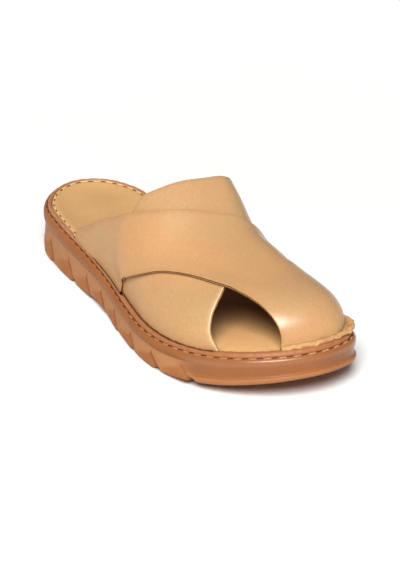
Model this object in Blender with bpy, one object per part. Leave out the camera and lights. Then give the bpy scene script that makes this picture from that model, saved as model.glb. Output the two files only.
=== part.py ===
"""A leather mule slipper for the right foot: outsole, welt, insole and an upper of two crossing straps.

X runs from heel to toe, +Y is the wearer's left (the inner side of this foot) and Z is up.
Every size below is in millimetres; mesh_object turns millimetres into metres.
"""

import bpy
import numpy as np
from mathutils import Vector
from mathutils.geometry import delaunay_2d_cdt

MM = 0.001
TINY = 1e-6

# Sole outline at the stitched groove, seen from above
HEEL_BACK = (0.0, 0.0)
TOE_TIP = (256.0, 9.0)
OUTLINE = (
    # station, outer half width, inner half width
    (7.0, 17.5, 17.8),
    (25.0, 31.0, 28.2),
    (50.0, 35.7, 31.0),
    (85.0, 37.5, 32.2),
    (120.0, 40.3, 35.2),
    (150.0, 45.4, 37.8),
    (175.0, 48.4, 40.5),
    (197.0, 47.0, 42.5),
    (217.0, 41.4, 42.6),
    (234.0, 31.2, 39.9),
    (247.0, 17.0, 32.6),
    (253.0, 5.5, 23.4),
)
GROOVE_HEIGHT = (
    # station, height of the stitched groove above the floor
    (-5.0, 29.2),
    (50.0, 26.3),
    (100.0, 21.6),
    (150.0, 17.1),
    (190.0, 16.1),
    (225.0, 19.1),
    (260.0, 25.0),
)
STATIONS_PER_SIDE = 40
STATION_CLEARANCE = 0.006
FINE = 600

# Underside: heel and forefoot flats, arch between them, toe spring ahead of them
HEEL_FLAT = (8.0, 80.0)
FOREFOOT_FLAT = (142.0, 178.0)
HEEL_BEVEL = 2.0
ARCH_LIFT = 2.4
TOE_SPRING = 13.2
SPRING_RUN = 82.0
TREAD_GROOVES = (44.0, 75.0, 168.0, 193.0, 217.0)
TREAD_HALF_WIDTH = 2.0
TREAD_DEPTH = 2.2
TREAD_SLOPE = 0.8

# Side wall of the outsole: saw-tooth lugs along the sides, a plain lip round the toe
LUG_STEPS = (43.5, 71.5, 96.0, 117.0, 139.0, 166.0, 190.0, 213.0)
LUG_REACH = 1.2
LUG_STEP_RUN = 0.8
TOE_LIP_FROM = (206.0, 222.0)
WALL = (
    # share of height, outset at the sides, part of the lug, share of height at the toe, outset at the toe
    (0.00, 0.6, 0.5, 0.00, 0.9),
    (0.06, 0.9, 1.0, 0.05, 1.9),
    (0.24, 1.0, 1.0, 0.20, 2.2),
    (0.44, 0.9, 0.9, 0.26, 1.5),
    (0.51, 0.8, 0.0, 0.30, 0.9),
    (0.69, 0.9, 0.0, 0.68, 0.9),
    (0.76, 1.6, 0.0, 0.75, 1.5),
    (0.87, 1.9, 0.0, 0.87, 1.7),
    (0.96, 1.3, 0.0, 0.96, 1.2),
    (1.00, 0.2, 0.0, 1.00, 0.2),
)
CHANNEL_INSET = 0.4
CHANNEL_DROP = 0.6
PLATFORM_DROP = 2.0
SOLE_COLUMNS = 4

# The two sides change over along the line from heel to toe
SIDE_BLEND = 8.0

# Welt: a roll inside the groove, slimmer round the heel and at the outer straps, slimmest at the over strap
WELT_START = 0.7
WELT = (
    # width from its outer face, height above the groove
    (0.0, -1.7),
    (0.0, 0.3),
    (0.4, 1.5),
    (1.3, 2.3),
    (2.3, 2.5),
    (3.4, 2.2),
    (4.0, 1.4),
    (4.05, 0.6),
    (4.05, -1.7),
)
WELT_STATIONS = 48
WELT_NARROW = 0.6
WELT_LOW = 0.7
WELT_HEEL_RUN = (48.0, 68.0)
WELT_WIDEN_RUN = (223.0, 231.0)
WELT_TIGHT_NARROW = 0.33
WELT_TIGHT_LOW = 0.5
WELT_TIGHT_RUN = (60.0, 67.0, 135.5, 143.0)

# Insole: reaches the welt where it lies bare, and steps in where a strap comes down beside it
INSOLE_BARE_GAP = 0.35
INSOLE_STRAP_GAP = 0.45
INSOLE_STEP_RUN = 3.0
INSOLE_CLEAR = 3.0
INSOLE_STATIONS = 64
INSOLE_DROP = 1.7
INSOLE_EDGE = 1.5
INSOLE_ROUND = 0.9
INSOLE_COLUMNS = 8
INSOLE_DISH_POWER = 3
INSOLE_CUP = (
    # station, depth of the dish below its rim
    (0.0, 2.6),
    (60.0, 2.4),
    (120.0, 1.2),
    (200.0, 0.8),
    (256.0, 0.6),
)

# Last: the form inside the upper, by sections across the foot
LAST_INSET = 7.2
LAST_OUTER_INSET = 5.6
LAST_OUTER_RUN = (210.0, 238.0)
LAST_BASE = 2.0
LAST = (
    # station, height of the ridge, ridge towards the inner side, outer roundness, inner roundness
    (60.0, 107.0, 4.0, 0.85, 0.70),
    (95.0, 97.0, 8.0, 0.85, 0.60),
    (125.0, 84.0, 12.0, 0.85, 0.50),
    (145.0, 72.0, 12.0, 0.85, 0.65),
    (165.0, 58.0, 9.0, 0.84, 0.88),
    (190.0, 49.5, 7.5, 0.83, 0.735),
    (212.0, 46.5, 8.0, 0.82, 0.70),
    (256.0, 46.5, 8.0, 0.82, 0.60),
)
TOE_CENTRE = 212.0

# Straps, laid out on the last's flat pattern
STRAP_WALL = 2.0
STRAP_SINK = 0.7
STRAP_FALL = 22.0
STRAP_RISE = 5.0
STAND_OFF = 1.4
STAND_OFF_RISE = 22.0
STAND_OFF_END = (150.0, 165.0)
HEM_DEPTH = 3.4
STRAP_STEP = 4.5
PATTERN_STEP = 0.2
PATTERN_MERGE = 1e-5
RIB_STEP = 6.0
RIB_ANGLE = 12.0
RIB_SHARES = (0.0, 0.1, 0.2, 0.3, 0.4, 0.5, 0.6, 0.7, 0.79, 0.87, 0.93, 0.97, 1.0)
EDGE_CLEARANCE = 1.3
OVER_REAR_BASE = 70.0
OVER_FRONT_BASE = 133.5
OVER_INNER_BASE = 156.0
OVER_TOE_BASE = 246.7
OVER_REAR_EDGE = (
    # x, y on the pattern, from the outer side over to the inner side
    (73.0, -30.8),
    (79.0, -29.6),
    (87.5, -28.4),
    (99.5, -26.0),
    (120.0, -20.5),
    (136.0, -14.0),
    (145.5, -8.0),
    (151.0, -2.0),
    (159.5, 8.5),
    (165.0, 15.0),
    (165.5, 24.0),
)
OVER_FRONT_EDGE = (
    # x, y on the pattern, from the outer side forward to the toe
    (142.5, -34.4),
    (150.5, -32.2),
    (160.0, -28.5),
    (175.0, -20.2),
    (188.5, -14.1),
    (207.0, -8.0),
    (222.5, -3.8),
    (232.5, -4.2),
    (240.0, -5.8),
)
UNDER_REAR_OUTER_BASE = 136.5
UNDER_FRONT_OUTER_BASE = 227.0
UNDER_REAR_INNER_BASE = 80.0
UNDER_FRONT_INNER_BASE = 152.0
UNDER_REAR_EDGE = (
    # x, y on the pattern, from the outer side over to the inner side
    (136.5, -29.7),
    (129.5, -17.3),
    (129.5, -11.6),
    (134.0, -4.1),
    (137.6, 4.6),
    (139.8, 11.6),
    (140.0, 15.0),
    (136.5, 19.6),
    (130.0, 22.5),
    (118.0, 25.1),
    (98.0, 25.6),
)
UNDER_FRONT_EDGE = (
    # x, y on the pattern, from the outer side over to the inner side
    (219.0, -28.4),
    (215.0, -20.8),
    (211.5, -12.3),
    (203.2, -4.0),
    (190.0, 6.0),
    (176.0, 18.0),
    (167.5, 27.0),
)

# Finishes, from the photograph
SHARP_ANGLE = 40.0
FINISHES = {
    # linear red, green and blue, then roughness
    "outsole": (0.40, 0.145, 0.055, 0.45),
    "welt": (0.42, 0.15, 0.055, 0.45),
    "insole": (0.70, 0.43, 0.19, 0.6),
    "upper": (0.72, 0.42, 0.18, 0.5),
}


def smooth(xs, ys):
    """A smooth curve through a table: a function that gives y, or a point, for x."""
    xs = np.asarray(xs, float)
    ys = np.asarray(ys, float)
    slopes = np.gradient(ys, xs, axis=0)

    def value(x):
        x = np.clip(x, xs[0], xs[-1])
        i = np.clip(np.searchsorted(xs, x) - 1, 0, len(xs) - 2)
        span = xs[i + 1] - xs[i]
        t = (x - xs[i]) / span
        if ys.ndim > 1:
            t = t[..., None]
            span = span[..., None]
        start = (1 + 2 * t) * (1 - t) ** 2 * ys[i] + t * (1 - t) ** 2 * span * slopes[i]
        end = t**2 * (3 - 2 * t) * ys[i + 1] + t**2 * (t - 1) * span * slopes[i + 1]
        return start + end

    return value


def column(table, index):
    return [row[index] for row in table]


def ramp(x, start, end):
    """0 before start, 1 after end, and a soft S between them."""
    t = np.clip((x - start) / (end - start), 0.0, 1.0)
    return t * t * (3 - 2 * t)


def lengths(points):
    steps = np.linalg.norm(np.diff(points, axis=0), axis=1)
    return np.concatenate(([0.0], np.cumsum(steps)))


def along(points, shares):
    """Points at the given shares of a polyline's length."""
    run = lengths(points)
    wanted = np.asarray(shares) * run[-1]
    return np.stack([np.interp(wanted, run, points[:, i]) for i in range(points.shape[1])], axis=1)


def curve(points):
    """A smooth open curve through points, as a fine polyline."""
    points = np.asarray(points, float)
    run = lengths(points)
    return smooth(run, points)(np.linspace(0.0, run[-1], FINE))


def sole_sides():
    """The outer and the inner side of the groove line, each as a fine polyline from heel to toe."""
    outer = [(x, -y) for x, y, _ in OUTLINE]
    inner = [(x, y) for x, _, y in OUTLINE]
    loop = np.array([HEEL_BACK, *outer, TOE_TIP, *inner[::-1], HEEL_BACK])
    count = len(loop) - 1
    wrapped = np.concatenate([loop[-4:-1], loop, loop[1:4]])
    # Steps by the root of the distance keep the round ends free of bumps
    run = np.concatenate(([0.0], np.cumsum(np.sqrt(np.linalg.norm(np.diff(wrapped, axis=0), axis=1)))))
    line = smooth(run, wrapped)
    heel = run[3]
    toe = run[3 + len(outer) + 1]
    end = run[3 + count]
    return line(np.linspace(heel, toe, FINE)), line(np.linspace(end, toe, FINE))


OUTER_SIDE, INNER_SIDE = sole_sides()


def station_shares():
    """Shares along each side, with extra ones where a lug ends or a tread groove crosses."""
    run = lengths(OUTER_SIDE)
    shares = list(np.linspace(0.0, 1.0, STATIONS_PER_SIDE + 1))
    extra = []
    for step in LUG_STEPS:
        place = np.interp(step, OUTER_SIDE[:, 0], run)
        extra += [place - LUG_STEP_RUN / 2, place + LUG_STEP_RUN / 2]
    for groove in TREAD_GROOVES:
        place = np.interp(groove, OUTER_SIDE[:, 0], run)
        for reach in (TREAD_HALF_WIDTH + TREAD_SLOPE, TREAD_HALF_WIDTH):
            extra += [place - reach, place + reach]
    extra = np.array(extra) / run[-1]
    clear = [s for s in shares if np.abs(extra - s).min() > STATION_CLEARANCE or s in (0.0, 1.0)]
    return np.array(sorted([*clear, *extra]))


SOLE_SHARES = station_shares()


def groove_ring(shares):
    """The groove line as one closed ring: heel, outer side, toe, inner side."""
    outer = along(OUTER_SIDE, shares)
    inner = along(INNER_SIDE, shares)
    return np.concatenate([outer, inner[-2:0:-1]])


def outset(ring, amount):
    """Moves a closed ring outwards by amount, one number or one for each point."""
    direction = np.roll(ring, -1, axis=0) - np.roll(ring, 1, axis=0)
    normal = np.stack([direction[:, 1], -direction[:, 0]], axis=1)
    normal /= np.linalg.norm(normal, axis=1)[:, None]
    if np.sum(normal * (ring - ring.mean(axis=0))) < 0:
        normal = -normal
    return ring + normal * np.broadcast_to(amount, len(ring))[:, None]


GROOVE = smooth(column(GROOVE_HEIGHT, 0), column(GROOVE_HEIGHT, 1))


def with_height(ring, height):
    return np.column_stack([ring, np.broadcast_to(height, len(ring))])


def underside(x):
    """Height of the sole's underside: bevel, heel flat, arch, forefoot flat and toe spring."""
    bevel = HEEL_BEVEL * (np.clip(HEEL_FLAT[0] - x, 0.0, None) / HEEL_FLAT[0]) ** 2
    arch_share = np.clip((x - HEEL_FLAT[1]) / (FOREFOOT_FLAT[0] - HEEL_FLAT[1]), 0.0, 1.0)
    arch = ARCH_LIFT * np.sin(np.pi * arch_share) ** 2
    spring = TOE_SPRING * (np.clip(x - FOREFOOT_FLAT[1], 0.0, None) / SPRING_RUN) ** 2
    return np.minimum(bevel, HEEL_BEVEL) + arch + spring


def ring_shares(shares):
    return np.concatenate([shares, shares[-2:0:-1]])


def side_places(ring_share):
    """Where each ring point lies along the outer side, as a station in millimetres."""
    return along(OUTER_SIDE, ring_share)[:, 0]


def tread_lift(station):
    """How far a tread groove lifts the underside at a station."""
    away = np.min([np.abs(station - groove) for groove in TREAD_GROOVES], axis=0)
    return TREAD_DEPTH * np.clip((TREAD_HALF_WIDTH + TREAD_SLOPE - away) / TREAD_SLOPE, 0.0, 1.0)


def lug_reach(station):
    """Saw-tooth lugs: each grows from its rear end to its front end, then steps back."""
    starts = np.array([0.0, *LUG_STEPS])
    i = np.clip(np.searchsorted(starts, station, side="right") - 1, 0, len(LUG_STEPS) - 1)
    grown = np.clip((station - starts[i]) / (starts[i + 1] - starts[i]), 0.0, 1.0)
    return np.where(station > LUG_STEPS[-1], 0.0, LUG_REACH * grown)


def across(ring, columns, height):
    """Rows of points between the two sides of a ring, with a height function of x, share across and place."""
    half = len(ring) // 2
    rows = []
    for k in range(1, half):
        outer = ring[k]
        inner = ring[len(ring) - k]
        share = np.linspace(0.0, 1.0, columns + 1)[1:-1]
        flat = outer[:2] + (inner[:2] - outer[:2]) * share[:, None]
        rows.append(np.column_stack([flat, height(flat[:, 0], share, k)]))
    return rows


class Skin:
    """Collects rings of points and the faces between them."""

    def __init__(self):
        self.points = []
        self.faces = []

    def add(self, points):
        first = sum(len(block) for block in self.points)
        self.points.append(np.asarray(points, float))
        return np.arange(first, first + len(points))

    def band(self, lower, upper):
        """Faces between two closed rings of equal length."""
        count = len(lower)
        for i in range(count):
            j = (i + 1) % count
            self.faces.append((lower[i], lower[j], upper[j], upper[i]))

    def cap(self, ring, rows, up):
        """Closes a ring with rows of points that run between its two sides."""
        half = len(ring) // 2
        lines = [[ring[0]]]
        for k in range(1, half):
            lines.append([ring[k], *self.add(rows[k - 1]), ring[len(ring) - k]])
        lines.append([ring[half]])
        for near, far in zip(lines, lines[1:]):
            last = max(len(near), len(far)) - 1
            for j in range(last):
                corners = (
                    near[min(j, len(near) - 1)],
                    far[min(j, len(far) - 1)],
                    far[min(j + 1, len(far) - 1)],
                    near[min(j + 1, len(near) - 1)],
                )
                face = tuple(dict.fromkeys(corners))
                self.faces.append(face if up else face[::-1])

    def all_points(self):
        return np.concatenate(self.points)


def outsole():
    shares = ring_shares(SOLE_SHARES)
    station = side_places(shares)
    groove = groove_ring(SOLE_SHARES)
    toe = ramp(station, *TOE_LIP_FROM)
    lug = lug_reach(station)
    top = GROOVE(groove[:, 0])
    low = underside(groove[:, 0]) + tread_lift(station)
    skin = Skin()
    rings = []
    for side_share, side_out, lug_part, toe_share, toe_out in WALL:
        share = side_share + (toe_share - side_share) * toe
        out = (side_out + lug_part * lug) * (1 - toe) + toe_out * toe
        rings.append(with_height(outset(groove, out), low + (top - low) * share))
    channel = outset(groove, -CHANNEL_INSET)
    rings.append(with_height(channel, top - CHANNEL_DROP))
    rings.append(with_height(channel, top - PLATFORM_DROP))
    numbers = [skin.add(ring) for ring in rings]
    for lower, upper in zip(numbers, numbers[1:]):
        skin.band(lower, upper)
    half = len(SOLE_SHARES)
    lift = tread_lift(station[:half])
    bottom = across(rings[0], SOLE_COLUMNS, lambda x, share, k: underside(x) + lift[k])
    skin.cap(numbers[0], bottom, up=False)
    platform = across(rings[-1], SOLE_COLUMNS, lambda x, share, k: GROOVE(x) - PLATFORM_DROP)
    skin.cap(numbers[-1], platform, up=True)
    return skin


def outer_part(ring):
    """1 on the outer side of the line from heel to toe, 0 on its inner side."""
    middle = np.interp(ring[:, 0], [HEEL_BACK[0], TOE_TIP[0]], [HEEL_BACK[1], TOE_TIP[1]])
    return ramp(middle - ring[:, 1], -SIDE_BLEND, SIDE_BLEND)


def slim_part(ring):
    """1 where the welt is slim, 0 where it has its full width and height."""
    x = ring[:, 0]
    outer = outer_part(ring)
    return outer * (1 - ramp(x, *WELT_WIDEN_RUN)) + (1 - outer) * (1 - ramp(x, *WELT_HEEL_RUN))


def tight_part(ring):
    """1 where the over strap's outer base stands close to the groove."""
    x = ring[:, 0]
    start, full, last, end = WELT_TIGHT_RUN
    return outer_part(ring) * ramp(x, start, full) * (1 - ramp(x, last, end))


def welt_inset(ring, width):
    """How far inside the groove a line of the welt runs."""
    slim = 1 - (1 - WELT_NARROW) * slim_part(ring)
    return WELT_START + width * (slim - (WELT_NARROW - WELT_TIGHT_NARROW) * tight_part(ring))


def welt():
    groove = groove_ring(np.linspace(0.0, 1.0, WELT_STATIONS + 1))
    x = groove[:, 0]
    lower = 1 - (1 - WELT_LOW) * slim_part(groove) - (WELT_LOW - WELT_TIGHT_LOW) * tight_part(groove)
    skin = Skin()
    numbers = []
    for width, height in WELT:
        lifted = height * lower if height > 0 else height
        line = outset(groove, -welt_inset(groove, width))
        numbers.append(skin.add(with_height(line, GROOVE(x) + lifted)))
    for near, far in zip(numbers, [*numbers[1:], numbers[0]]):
        skin.band(near, far)
    return skin


def strap_cover(ring):
    """1 where a strap comes down beside the insole, 0 where the insole lies bare."""
    x = ring[:, 0]
    outer = outer_part(ring)

    def begins(base):
        return ramp(x, base - INSOLE_CLEAR - INSOLE_STEP_RUN, base - INSOLE_CLEAR)

    def ends(base):
        return 1 - ramp(x, base + INSOLE_CLEAR, base + INSOLE_CLEAR + INSOLE_STEP_RUN)

    outer_cover = np.maximum(begins(OVER_REAR_BASE) * ends(UNDER_FRONT_OUTER_BASE), begins(OVER_TOE_BASE))
    return outer * outer_cover + (1 - outer) * begins(UNDER_REAR_INNER_BASE)


def last_inset(ring):
    """How far inside the groove the last stands: closer to it on the outer side, behind the toe."""
    closer = outer_part(ring) * (1 - ramp(ring[:, 0], *LAST_OUTER_RUN))
    return LAST_INSET + (LAST_OUTER_INSET - LAST_INSET) * closer


def insole():
    groove = groove_ring(np.linspace(0.0, 1.0, INSOLE_STATIONS + 1))
    bare = welt_inset(groove, WELT[-1][0]) + INSOLE_BARE_GAP
    beside_strap = last_inset(groove) + INSOLE_STRAP_GAP
    inset = bare + (beside_strap - bare) * strap_cover(groove)
    dish = smooth(column(INSOLE_CUP, 0), column(INSOLE_CUP, 1))
    skin = Skin()
    edge = outset(groove, -inset)
    rim = outset(groove, -inset - INSOLE_ROUND)
    rings = [
        with_height(edge, GROOVE(edge[:, 0]) - INSOLE_DROP),
        with_height(edge, GROOVE(edge[:, 0]) + INSOLE_EDGE - INSOLE_ROUND),
        with_height(rim, GROOVE(rim[:, 0]) + INSOLE_EDGE),
    ]
    numbers = [skin.add(ring) for ring in rings]
    for lower, upper in zip(numbers, numbers[1:]):
        skin.band(lower, upper)
    bottom = across(rings[0], SOLE_COLUMNS, lambda x, share, k: GROOVE(x) - INSOLE_DROP)
    skin.cap(numbers[0], bottom, up=False)

    def dished(x, share, k):
        hollow = 1 - np.abs(2 * share - 1) ** INSOLE_DISH_POWER
        return GROOVE(x) + INSOLE_EDGE - dish(x) * hollow

    skin.cap(numbers[-1], across(rings[-1], INSOLE_COLUMNS, dished), up=True)
    return skin


class Last:
    """The form inside the upper: a point for each x and y of the flat pattern."""

    def __init__(self):
        stations = column(LAST, 0)
        self.top = smooth(stations, column(LAST, 1))
        self.ridge = smooth(stations, column(LAST, 2))
        self.outer_round = smooth(stations, column(LAST, 3))
        self.inner_round = smooth(stations, column(LAST, 4))
        fine_ring = groove_ring(np.linspace(0.0, 1.0, FINE))
        inset = last_inset(fine_ring)
        self.base = outset(fine_ring, -inset)
        self.hem = outset(fine_ring, HEM_DEPTH - inset)
        tip = np.argmax(self.base[:, 0])
        self.outer_base = self.base[: tip + 1]
        self.inner_base = np.concatenate([self.base[tip:], self.base[:1]])[::-1]
        self.centre = np.array([TOE_CENTRE, float(self.ridge(TOE_CENTRE))])
        spokes = self.base - self.centre
        angle = np.arctan2(spokes[:, 1], spokes[:, 0])
        order = np.argsort(angle)
        self.angle = angle[order]
        self.reach = np.linalg.norm(spokes, axis=1)[order]

    def side_y(self, x, side):
        line = self.outer_base if side < 0 else self.inner_base
        return np.interp(x, line[:, 0], line[:, 1])

    def corner(self, x, side):
        return np.array([x, float(self.side_y(x, side))])

    def hem_corner(self, x, side):
        """A strap's corner on the hem line at a station."""
        half = self.hem[: len(self.hem) // 2] if side < 0 else self.hem[: len(self.hem) // 2 : -1]
        return np.array([x, np.interp(x, half[:, 0], half[:, 1])])

    def hem_run(self, start, end):
        """The hem line from one corner to another, not round the heel."""
        first = np.argmin(np.linalg.norm(self.hem - start, axis=1))
        last = np.argmin(np.linalg.norm(self.hem - end, axis=1))
        step = 1 if last >= first else -1
        middle = self.hem[first + step : last : step]
        return np.concatenate([[start], middle, [end]])

    def points(self, flat):
        """The pattern's points on the last: sections across the foot, a fan at the toe, a hem below both."""
        x = flat[:, 0]
        y = flat[:, 1]
        ridge = self.ridge(x)
        outer = y < ridge
        side = np.where(outer, self.side_y(x, -1), self.side_y(x, 1))
        share = np.abs(y - ridge) / np.maximum(np.abs(side - ridge), TINY)
        fan = x > TOE_CENTRE
        spoke = flat - self.centre
        angle = np.arctan2(spoke[:, 1], spoke[:, 0])
        reach = np.interp(angle, self.angle, self.reach, period=2 * np.pi)
        share = np.where(fan, np.linalg.norm(spoke, axis=1) / reach, share)
        past = np.where(fan, reach, np.abs(side - ridge)) * np.clip(share - 1, 0.0, None)
        share = np.minimum(share, 1.0)
        base_x = np.where(fan, self.centre[0] + reach * np.cos(angle), x)
        base_y = np.where(fan, self.centre[1] + reach * np.sin(angle), side)
        ridge_x = np.minimum(x, TOE_CENTRE)
        ridge_y = np.where(fan, self.centre[1], ridge)
        inner_part = np.where(fan, 0.5 + 0.5 * np.sin(angle), np.where(outer, 0.0, 1.0))
        power = self.outer_round(ridge_x) * (1 - inner_part) + self.inner_round(ridge_x) * inner_part
        out = np.sin(share * np.pi / 2) ** power
        up = np.cos(share * np.pi / 2) ** power
        place_x = ridge_x + (base_x - ridge_x) * out
        place_y = ridge_y + (base_y - ridge_y) * out
        foot = GROOVE(base_x) + LAST_BASE
        return np.column_stack([place_x, place_y, foot + (self.top(place_x) - foot) * up - past])


LAST_FORM = Last()


def even_steps(line, step):
    """A pattern line again, with points at even steps as measured on the last."""
    run = lengths(LAST_FORM.points(line))
    count = max(2, int(round(run[-1] / step)))
    wanted = np.linspace(0.0, run[-1], count + 1)
    return np.stack([np.interp(wanted, run, line[:, i]) for i in range(2)], axis=1)


def strap_outline(rear, front, outer_base, inner_base):
    """One closed outline on the pattern: rear edge, inner base, front edge and outer base."""
    loop = [
        even_steps(rear, STRAP_STEP),
        even_steps(inner_base, STRAP_STEP),
        even_steps(front[::-1], STRAP_STEP),
        even_steps(outer_base[::-1], STRAP_STEP),
    ]
    return np.concatenate([line[:-1] for line in loop])


def rib_points():
    """Pattern points on ribs across the last, closer together where it turns down to its base."""
    shares = np.array(RIB_SHARES)[:, None]
    blocks = []
    for x in np.arange(LAST[0][0], TOE_CENTRE, RIB_STEP):
        ridge = np.array([x, float(LAST_FORM.ridge(x))])
        for side in (-1, 1):
            blocks.append(ridge + shares * (LAST_FORM.corner(x, side) - ridge))
    for angle in np.radians(np.arange(-90.0, 91.0, RIB_ANGLE)):
        reach = np.interp(angle, LAST_FORM.angle, LAST_FORM.reach, period=2 * np.pi)
        blocks.append(LAST_FORM.centre + shares * reach * np.array([np.cos(angle), np.sin(angle)]))
    return np.concatenate(blocks)


def last_normals(flat):
    """Outward directions on the last, from small steps along the pattern."""
    along_x = LAST_FORM.points(flat + [PATTERN_STEP, 0.0]) - LAST_FORM.points(flat - [PATTERN_STEP, 0.0])
    along_y = LAST_FORM.points(flat + [0.0, PATTERN_STEP]) - LAST_FORM.points(flat - [0.0, PATTERN_STEP])
    normal = np.cross(along_x, along_y)
    return normal / np.linalg.norm(normal, axis=1)[:, None]


def sheet(outline, lift):
    """A strap's wall: its pattern cut into triangles, laid on the last and given its thickness."""
    ribs = rib_points()
    ribs = ribs[distance_inside(ribs, outline) > EDGE_CLEARANCE]
    flat = np.concatenate([outline, ribs])
    rim = [(i, (i + 1) % len(outline)) for i in range(len(outline))]
    places, _, faces, *_ = delaunay_2d_cdt([Vector(p) for p in flat], rim, [], 1, PATTERN_MERGE)
    flat = np.array(places)
    bare = LAST_FORM.points(flat)
    normal = last_normals(flat)
    raised = lift(flat)[:, None]
    outer = bare + normal * (raised + STRAP_WALL)
    inner = bare + normal * raised
    count = len(flat)
    walls = [*faces, *[tuple(i + count for i in face[::-1]) for face in faces]]
    walls += [(i, j, j + count, i + count) for i, j in rim]
    return np.concatenate([outer, inner]), walls


def distance_inside(flat, outline):
    """Distance from pattern points to a closed outline, positive inside it."""
    start = outline
    step = np.roll(outline, -1, axis=0) - outline
    offset = flat[:, None] - start[None]
    share = np.sum(offset * step, axis=2) / np.maximum(np.sum(step * step, axis=1), TINY)
    nearest = offset - step[None] * np.clip(share, 0.0, 1.0)[:, :, None]
    away = np.linalg.norm(nearest, axis=2).min(axis=1)
    above = start[None, :, 1] > flat[:, None, 1]
    crossing = above != np.roll(above, -1, axis=1)
    with np.errstate(divide="ignore", invalid="ignore"):
        cut = start[:, 0] + step[:, 0] * (flat[:, None, 1] - start[:, 1]) / step[:, 1]
    inside = np.sum(crossing & (flat[:, None, 0] < cut), axis=1) % 2 == 1
    return np.where(inside, away, -away)


def under_strap_outline():
    rear_outer = LAST_FORM.hem_corner(UNDER_REAR_OUTER_BASE, -1)
    front_outer = LAST_FORM.hem_corner(UNDER_FRONT_OUTER_BASE, -1)
    rear_inner = LAST_FORM.hem_corner(UNDER_REAR_INNER_BASE, 1)
    front_inner = LAST_FORM.hem_corner(UNDER_FRONT_INNER_BASE, 1)
    return strap_outline(
        curve([rear_outer, *UNDER_REAR_EDGE, rear_inner]),
        curve([front_outer, *UNDER_FRONT_EDGE, front_inner]),
        LAST_FORM.hem_run(rear_outer, front_outer),
        LAST_FORM.hem_run(rear_inner, front_inner),
    )


def over_strap_outline():
    rear_outer = LAST_FORM.hem_corner(OVER_REAR_BASE, -1)
    front_outer = LAST_FORM.hem_corner(OVER_FRONT_BASE, -1)
    rear_inner = LAST_FORM.hem_corner(OVER_INNER_BASE, 1)
    toe = LAST_FORM.hem_corner(OVER_TOE_BASE, -1)
    return strap_outline(
        curve([rear_outer, *OVER_REAR_EDGE, rear_inner]),
        curve([front_outer, *OVER_FRONT_EDGE, toe]),
        LAST_FORM.hem_run(rear_outer, front_outer),
        LAST_FORM.hem_run(rear_inner, toe),
    )


def under_strap():
    return sheet(under_strap_outline(), lambda flat: np.zeros(len(flat)))


def over_strap():
    """The over strap rides on the under strap, lies on the last beyond it and stands off at its base."""
    crossed = under_strap_outline()

    def lift(flat):
        over = ramp(distance_inside(flat, crossed), -STRAP_FALL, 0.0)
        above_base = distance_inside(flat, LAST_FORM.base)
        riding = (STRAP_WALL - STRAP_SINK) * over * ramp(above_base, 0.0, STRAP_RISE)
        outer = (flat[:, 1] < 0) * (1 - ramp(flat[:, 0], *STAND_OFF_END))
        return np.maximum(riding, STAND_OFF * outer * (1 - ramp(above_base, 0.0, STAND_OFF_RISE)))

    return sheet(over_strap_outline(), lift)


def material(name):
    *colour, roughness = FINISHES[name]
    made = bpy.data.materials.new(name)
    made.use_nodes = True
    shader = made.node_tree.nodes["Principled BSDF"]
    shader.inputs["Base Color"].default_value = (*colour, 1.0)
    shader.inputs["Roughness"].default_value = roughness
    shader.inputs["Metallic"].default_value = 0.0
    return made


def mesh_object(name, points, faces, finish, parent):
    mesh = bpy.data.meshes.new(name)
    mesh.from_pydata((points * MM).tolist(), [], [tuple(int(i) for i in face) for face in faces])
    mesh.update()
    made = bpy.data.objects.new(name, mesh)
    mesh.materials.append(finish)
    mesh.shade_smooth()
    mesh.set_sharp_from_angle(angle=np.radians(SHARP_ANGLE))
    bpy.context.scene.collection.objects.link(made)
    made.parent = parent
    return made


def main():
    for existing in list(bpy.data.objects):
        bpy.data.objects.remove(existing, do_unlink=True)
    slipper = bpy.data.objects.new("slipper", None)
    bpy.context.scene.collection.objects.link(slipper)

    sole = outsole()
    points = sole.all_points()
    middle = (points.min(axis=0) + points.max(axis=0)) / 2
    slipper.location = (-middle[0] * MM, -middle[1] * MM, 0.0)
    for name, skin in (("outsole", sole), ("welt", welt()), ("insole", insole())):
        mesh_object(name, skin.all_points(), skin.faces, material(name), slipper)

    leather = material("upper")
    upper = mesh_object("upper", *over_strap(), leather, slipper)
    under = mesh_object("under_strap_guide", *under_strap(), leather, slipper)
    under.hide_render = True
    under.display_type = "WIRE"
    joined = upper.modifiers.new("joined_straps", "BOOLEAN")
    joined.operation = "UNION"
    joined.solver = "EXACT"
    joined.object = under


main()
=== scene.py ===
"""Looks of the leather mule slipper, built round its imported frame.

Sizes are in millimetres in the shoe's own layout: X from the heel's back to the toe, +Y the inner side,
Z up. mesh_piece moves them into the frame, which has its origin under the middle of the shoe, in metres.
"""

import math

import bpy
import numpy as np
from mathutils import Matrix, Vector
from mathutils.geometry import delaunay_2d_cdt


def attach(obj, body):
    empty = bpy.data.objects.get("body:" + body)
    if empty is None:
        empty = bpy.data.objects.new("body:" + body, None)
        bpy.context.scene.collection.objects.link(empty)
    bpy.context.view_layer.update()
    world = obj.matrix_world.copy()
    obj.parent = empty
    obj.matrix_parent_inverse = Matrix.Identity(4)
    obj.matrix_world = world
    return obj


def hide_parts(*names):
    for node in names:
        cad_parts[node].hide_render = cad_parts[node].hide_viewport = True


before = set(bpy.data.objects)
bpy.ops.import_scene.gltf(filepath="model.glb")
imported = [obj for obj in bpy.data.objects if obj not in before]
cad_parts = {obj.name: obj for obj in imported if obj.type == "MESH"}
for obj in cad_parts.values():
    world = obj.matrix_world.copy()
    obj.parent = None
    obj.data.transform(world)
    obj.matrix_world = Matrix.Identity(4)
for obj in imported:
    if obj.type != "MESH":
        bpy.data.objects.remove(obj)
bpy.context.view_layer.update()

MM = 0.001
TINY = 1e-6
FINE = 2400
LINE_POINTS = 160
UPWARD = np.array([0.0, 0.0, 1.0])
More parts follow.
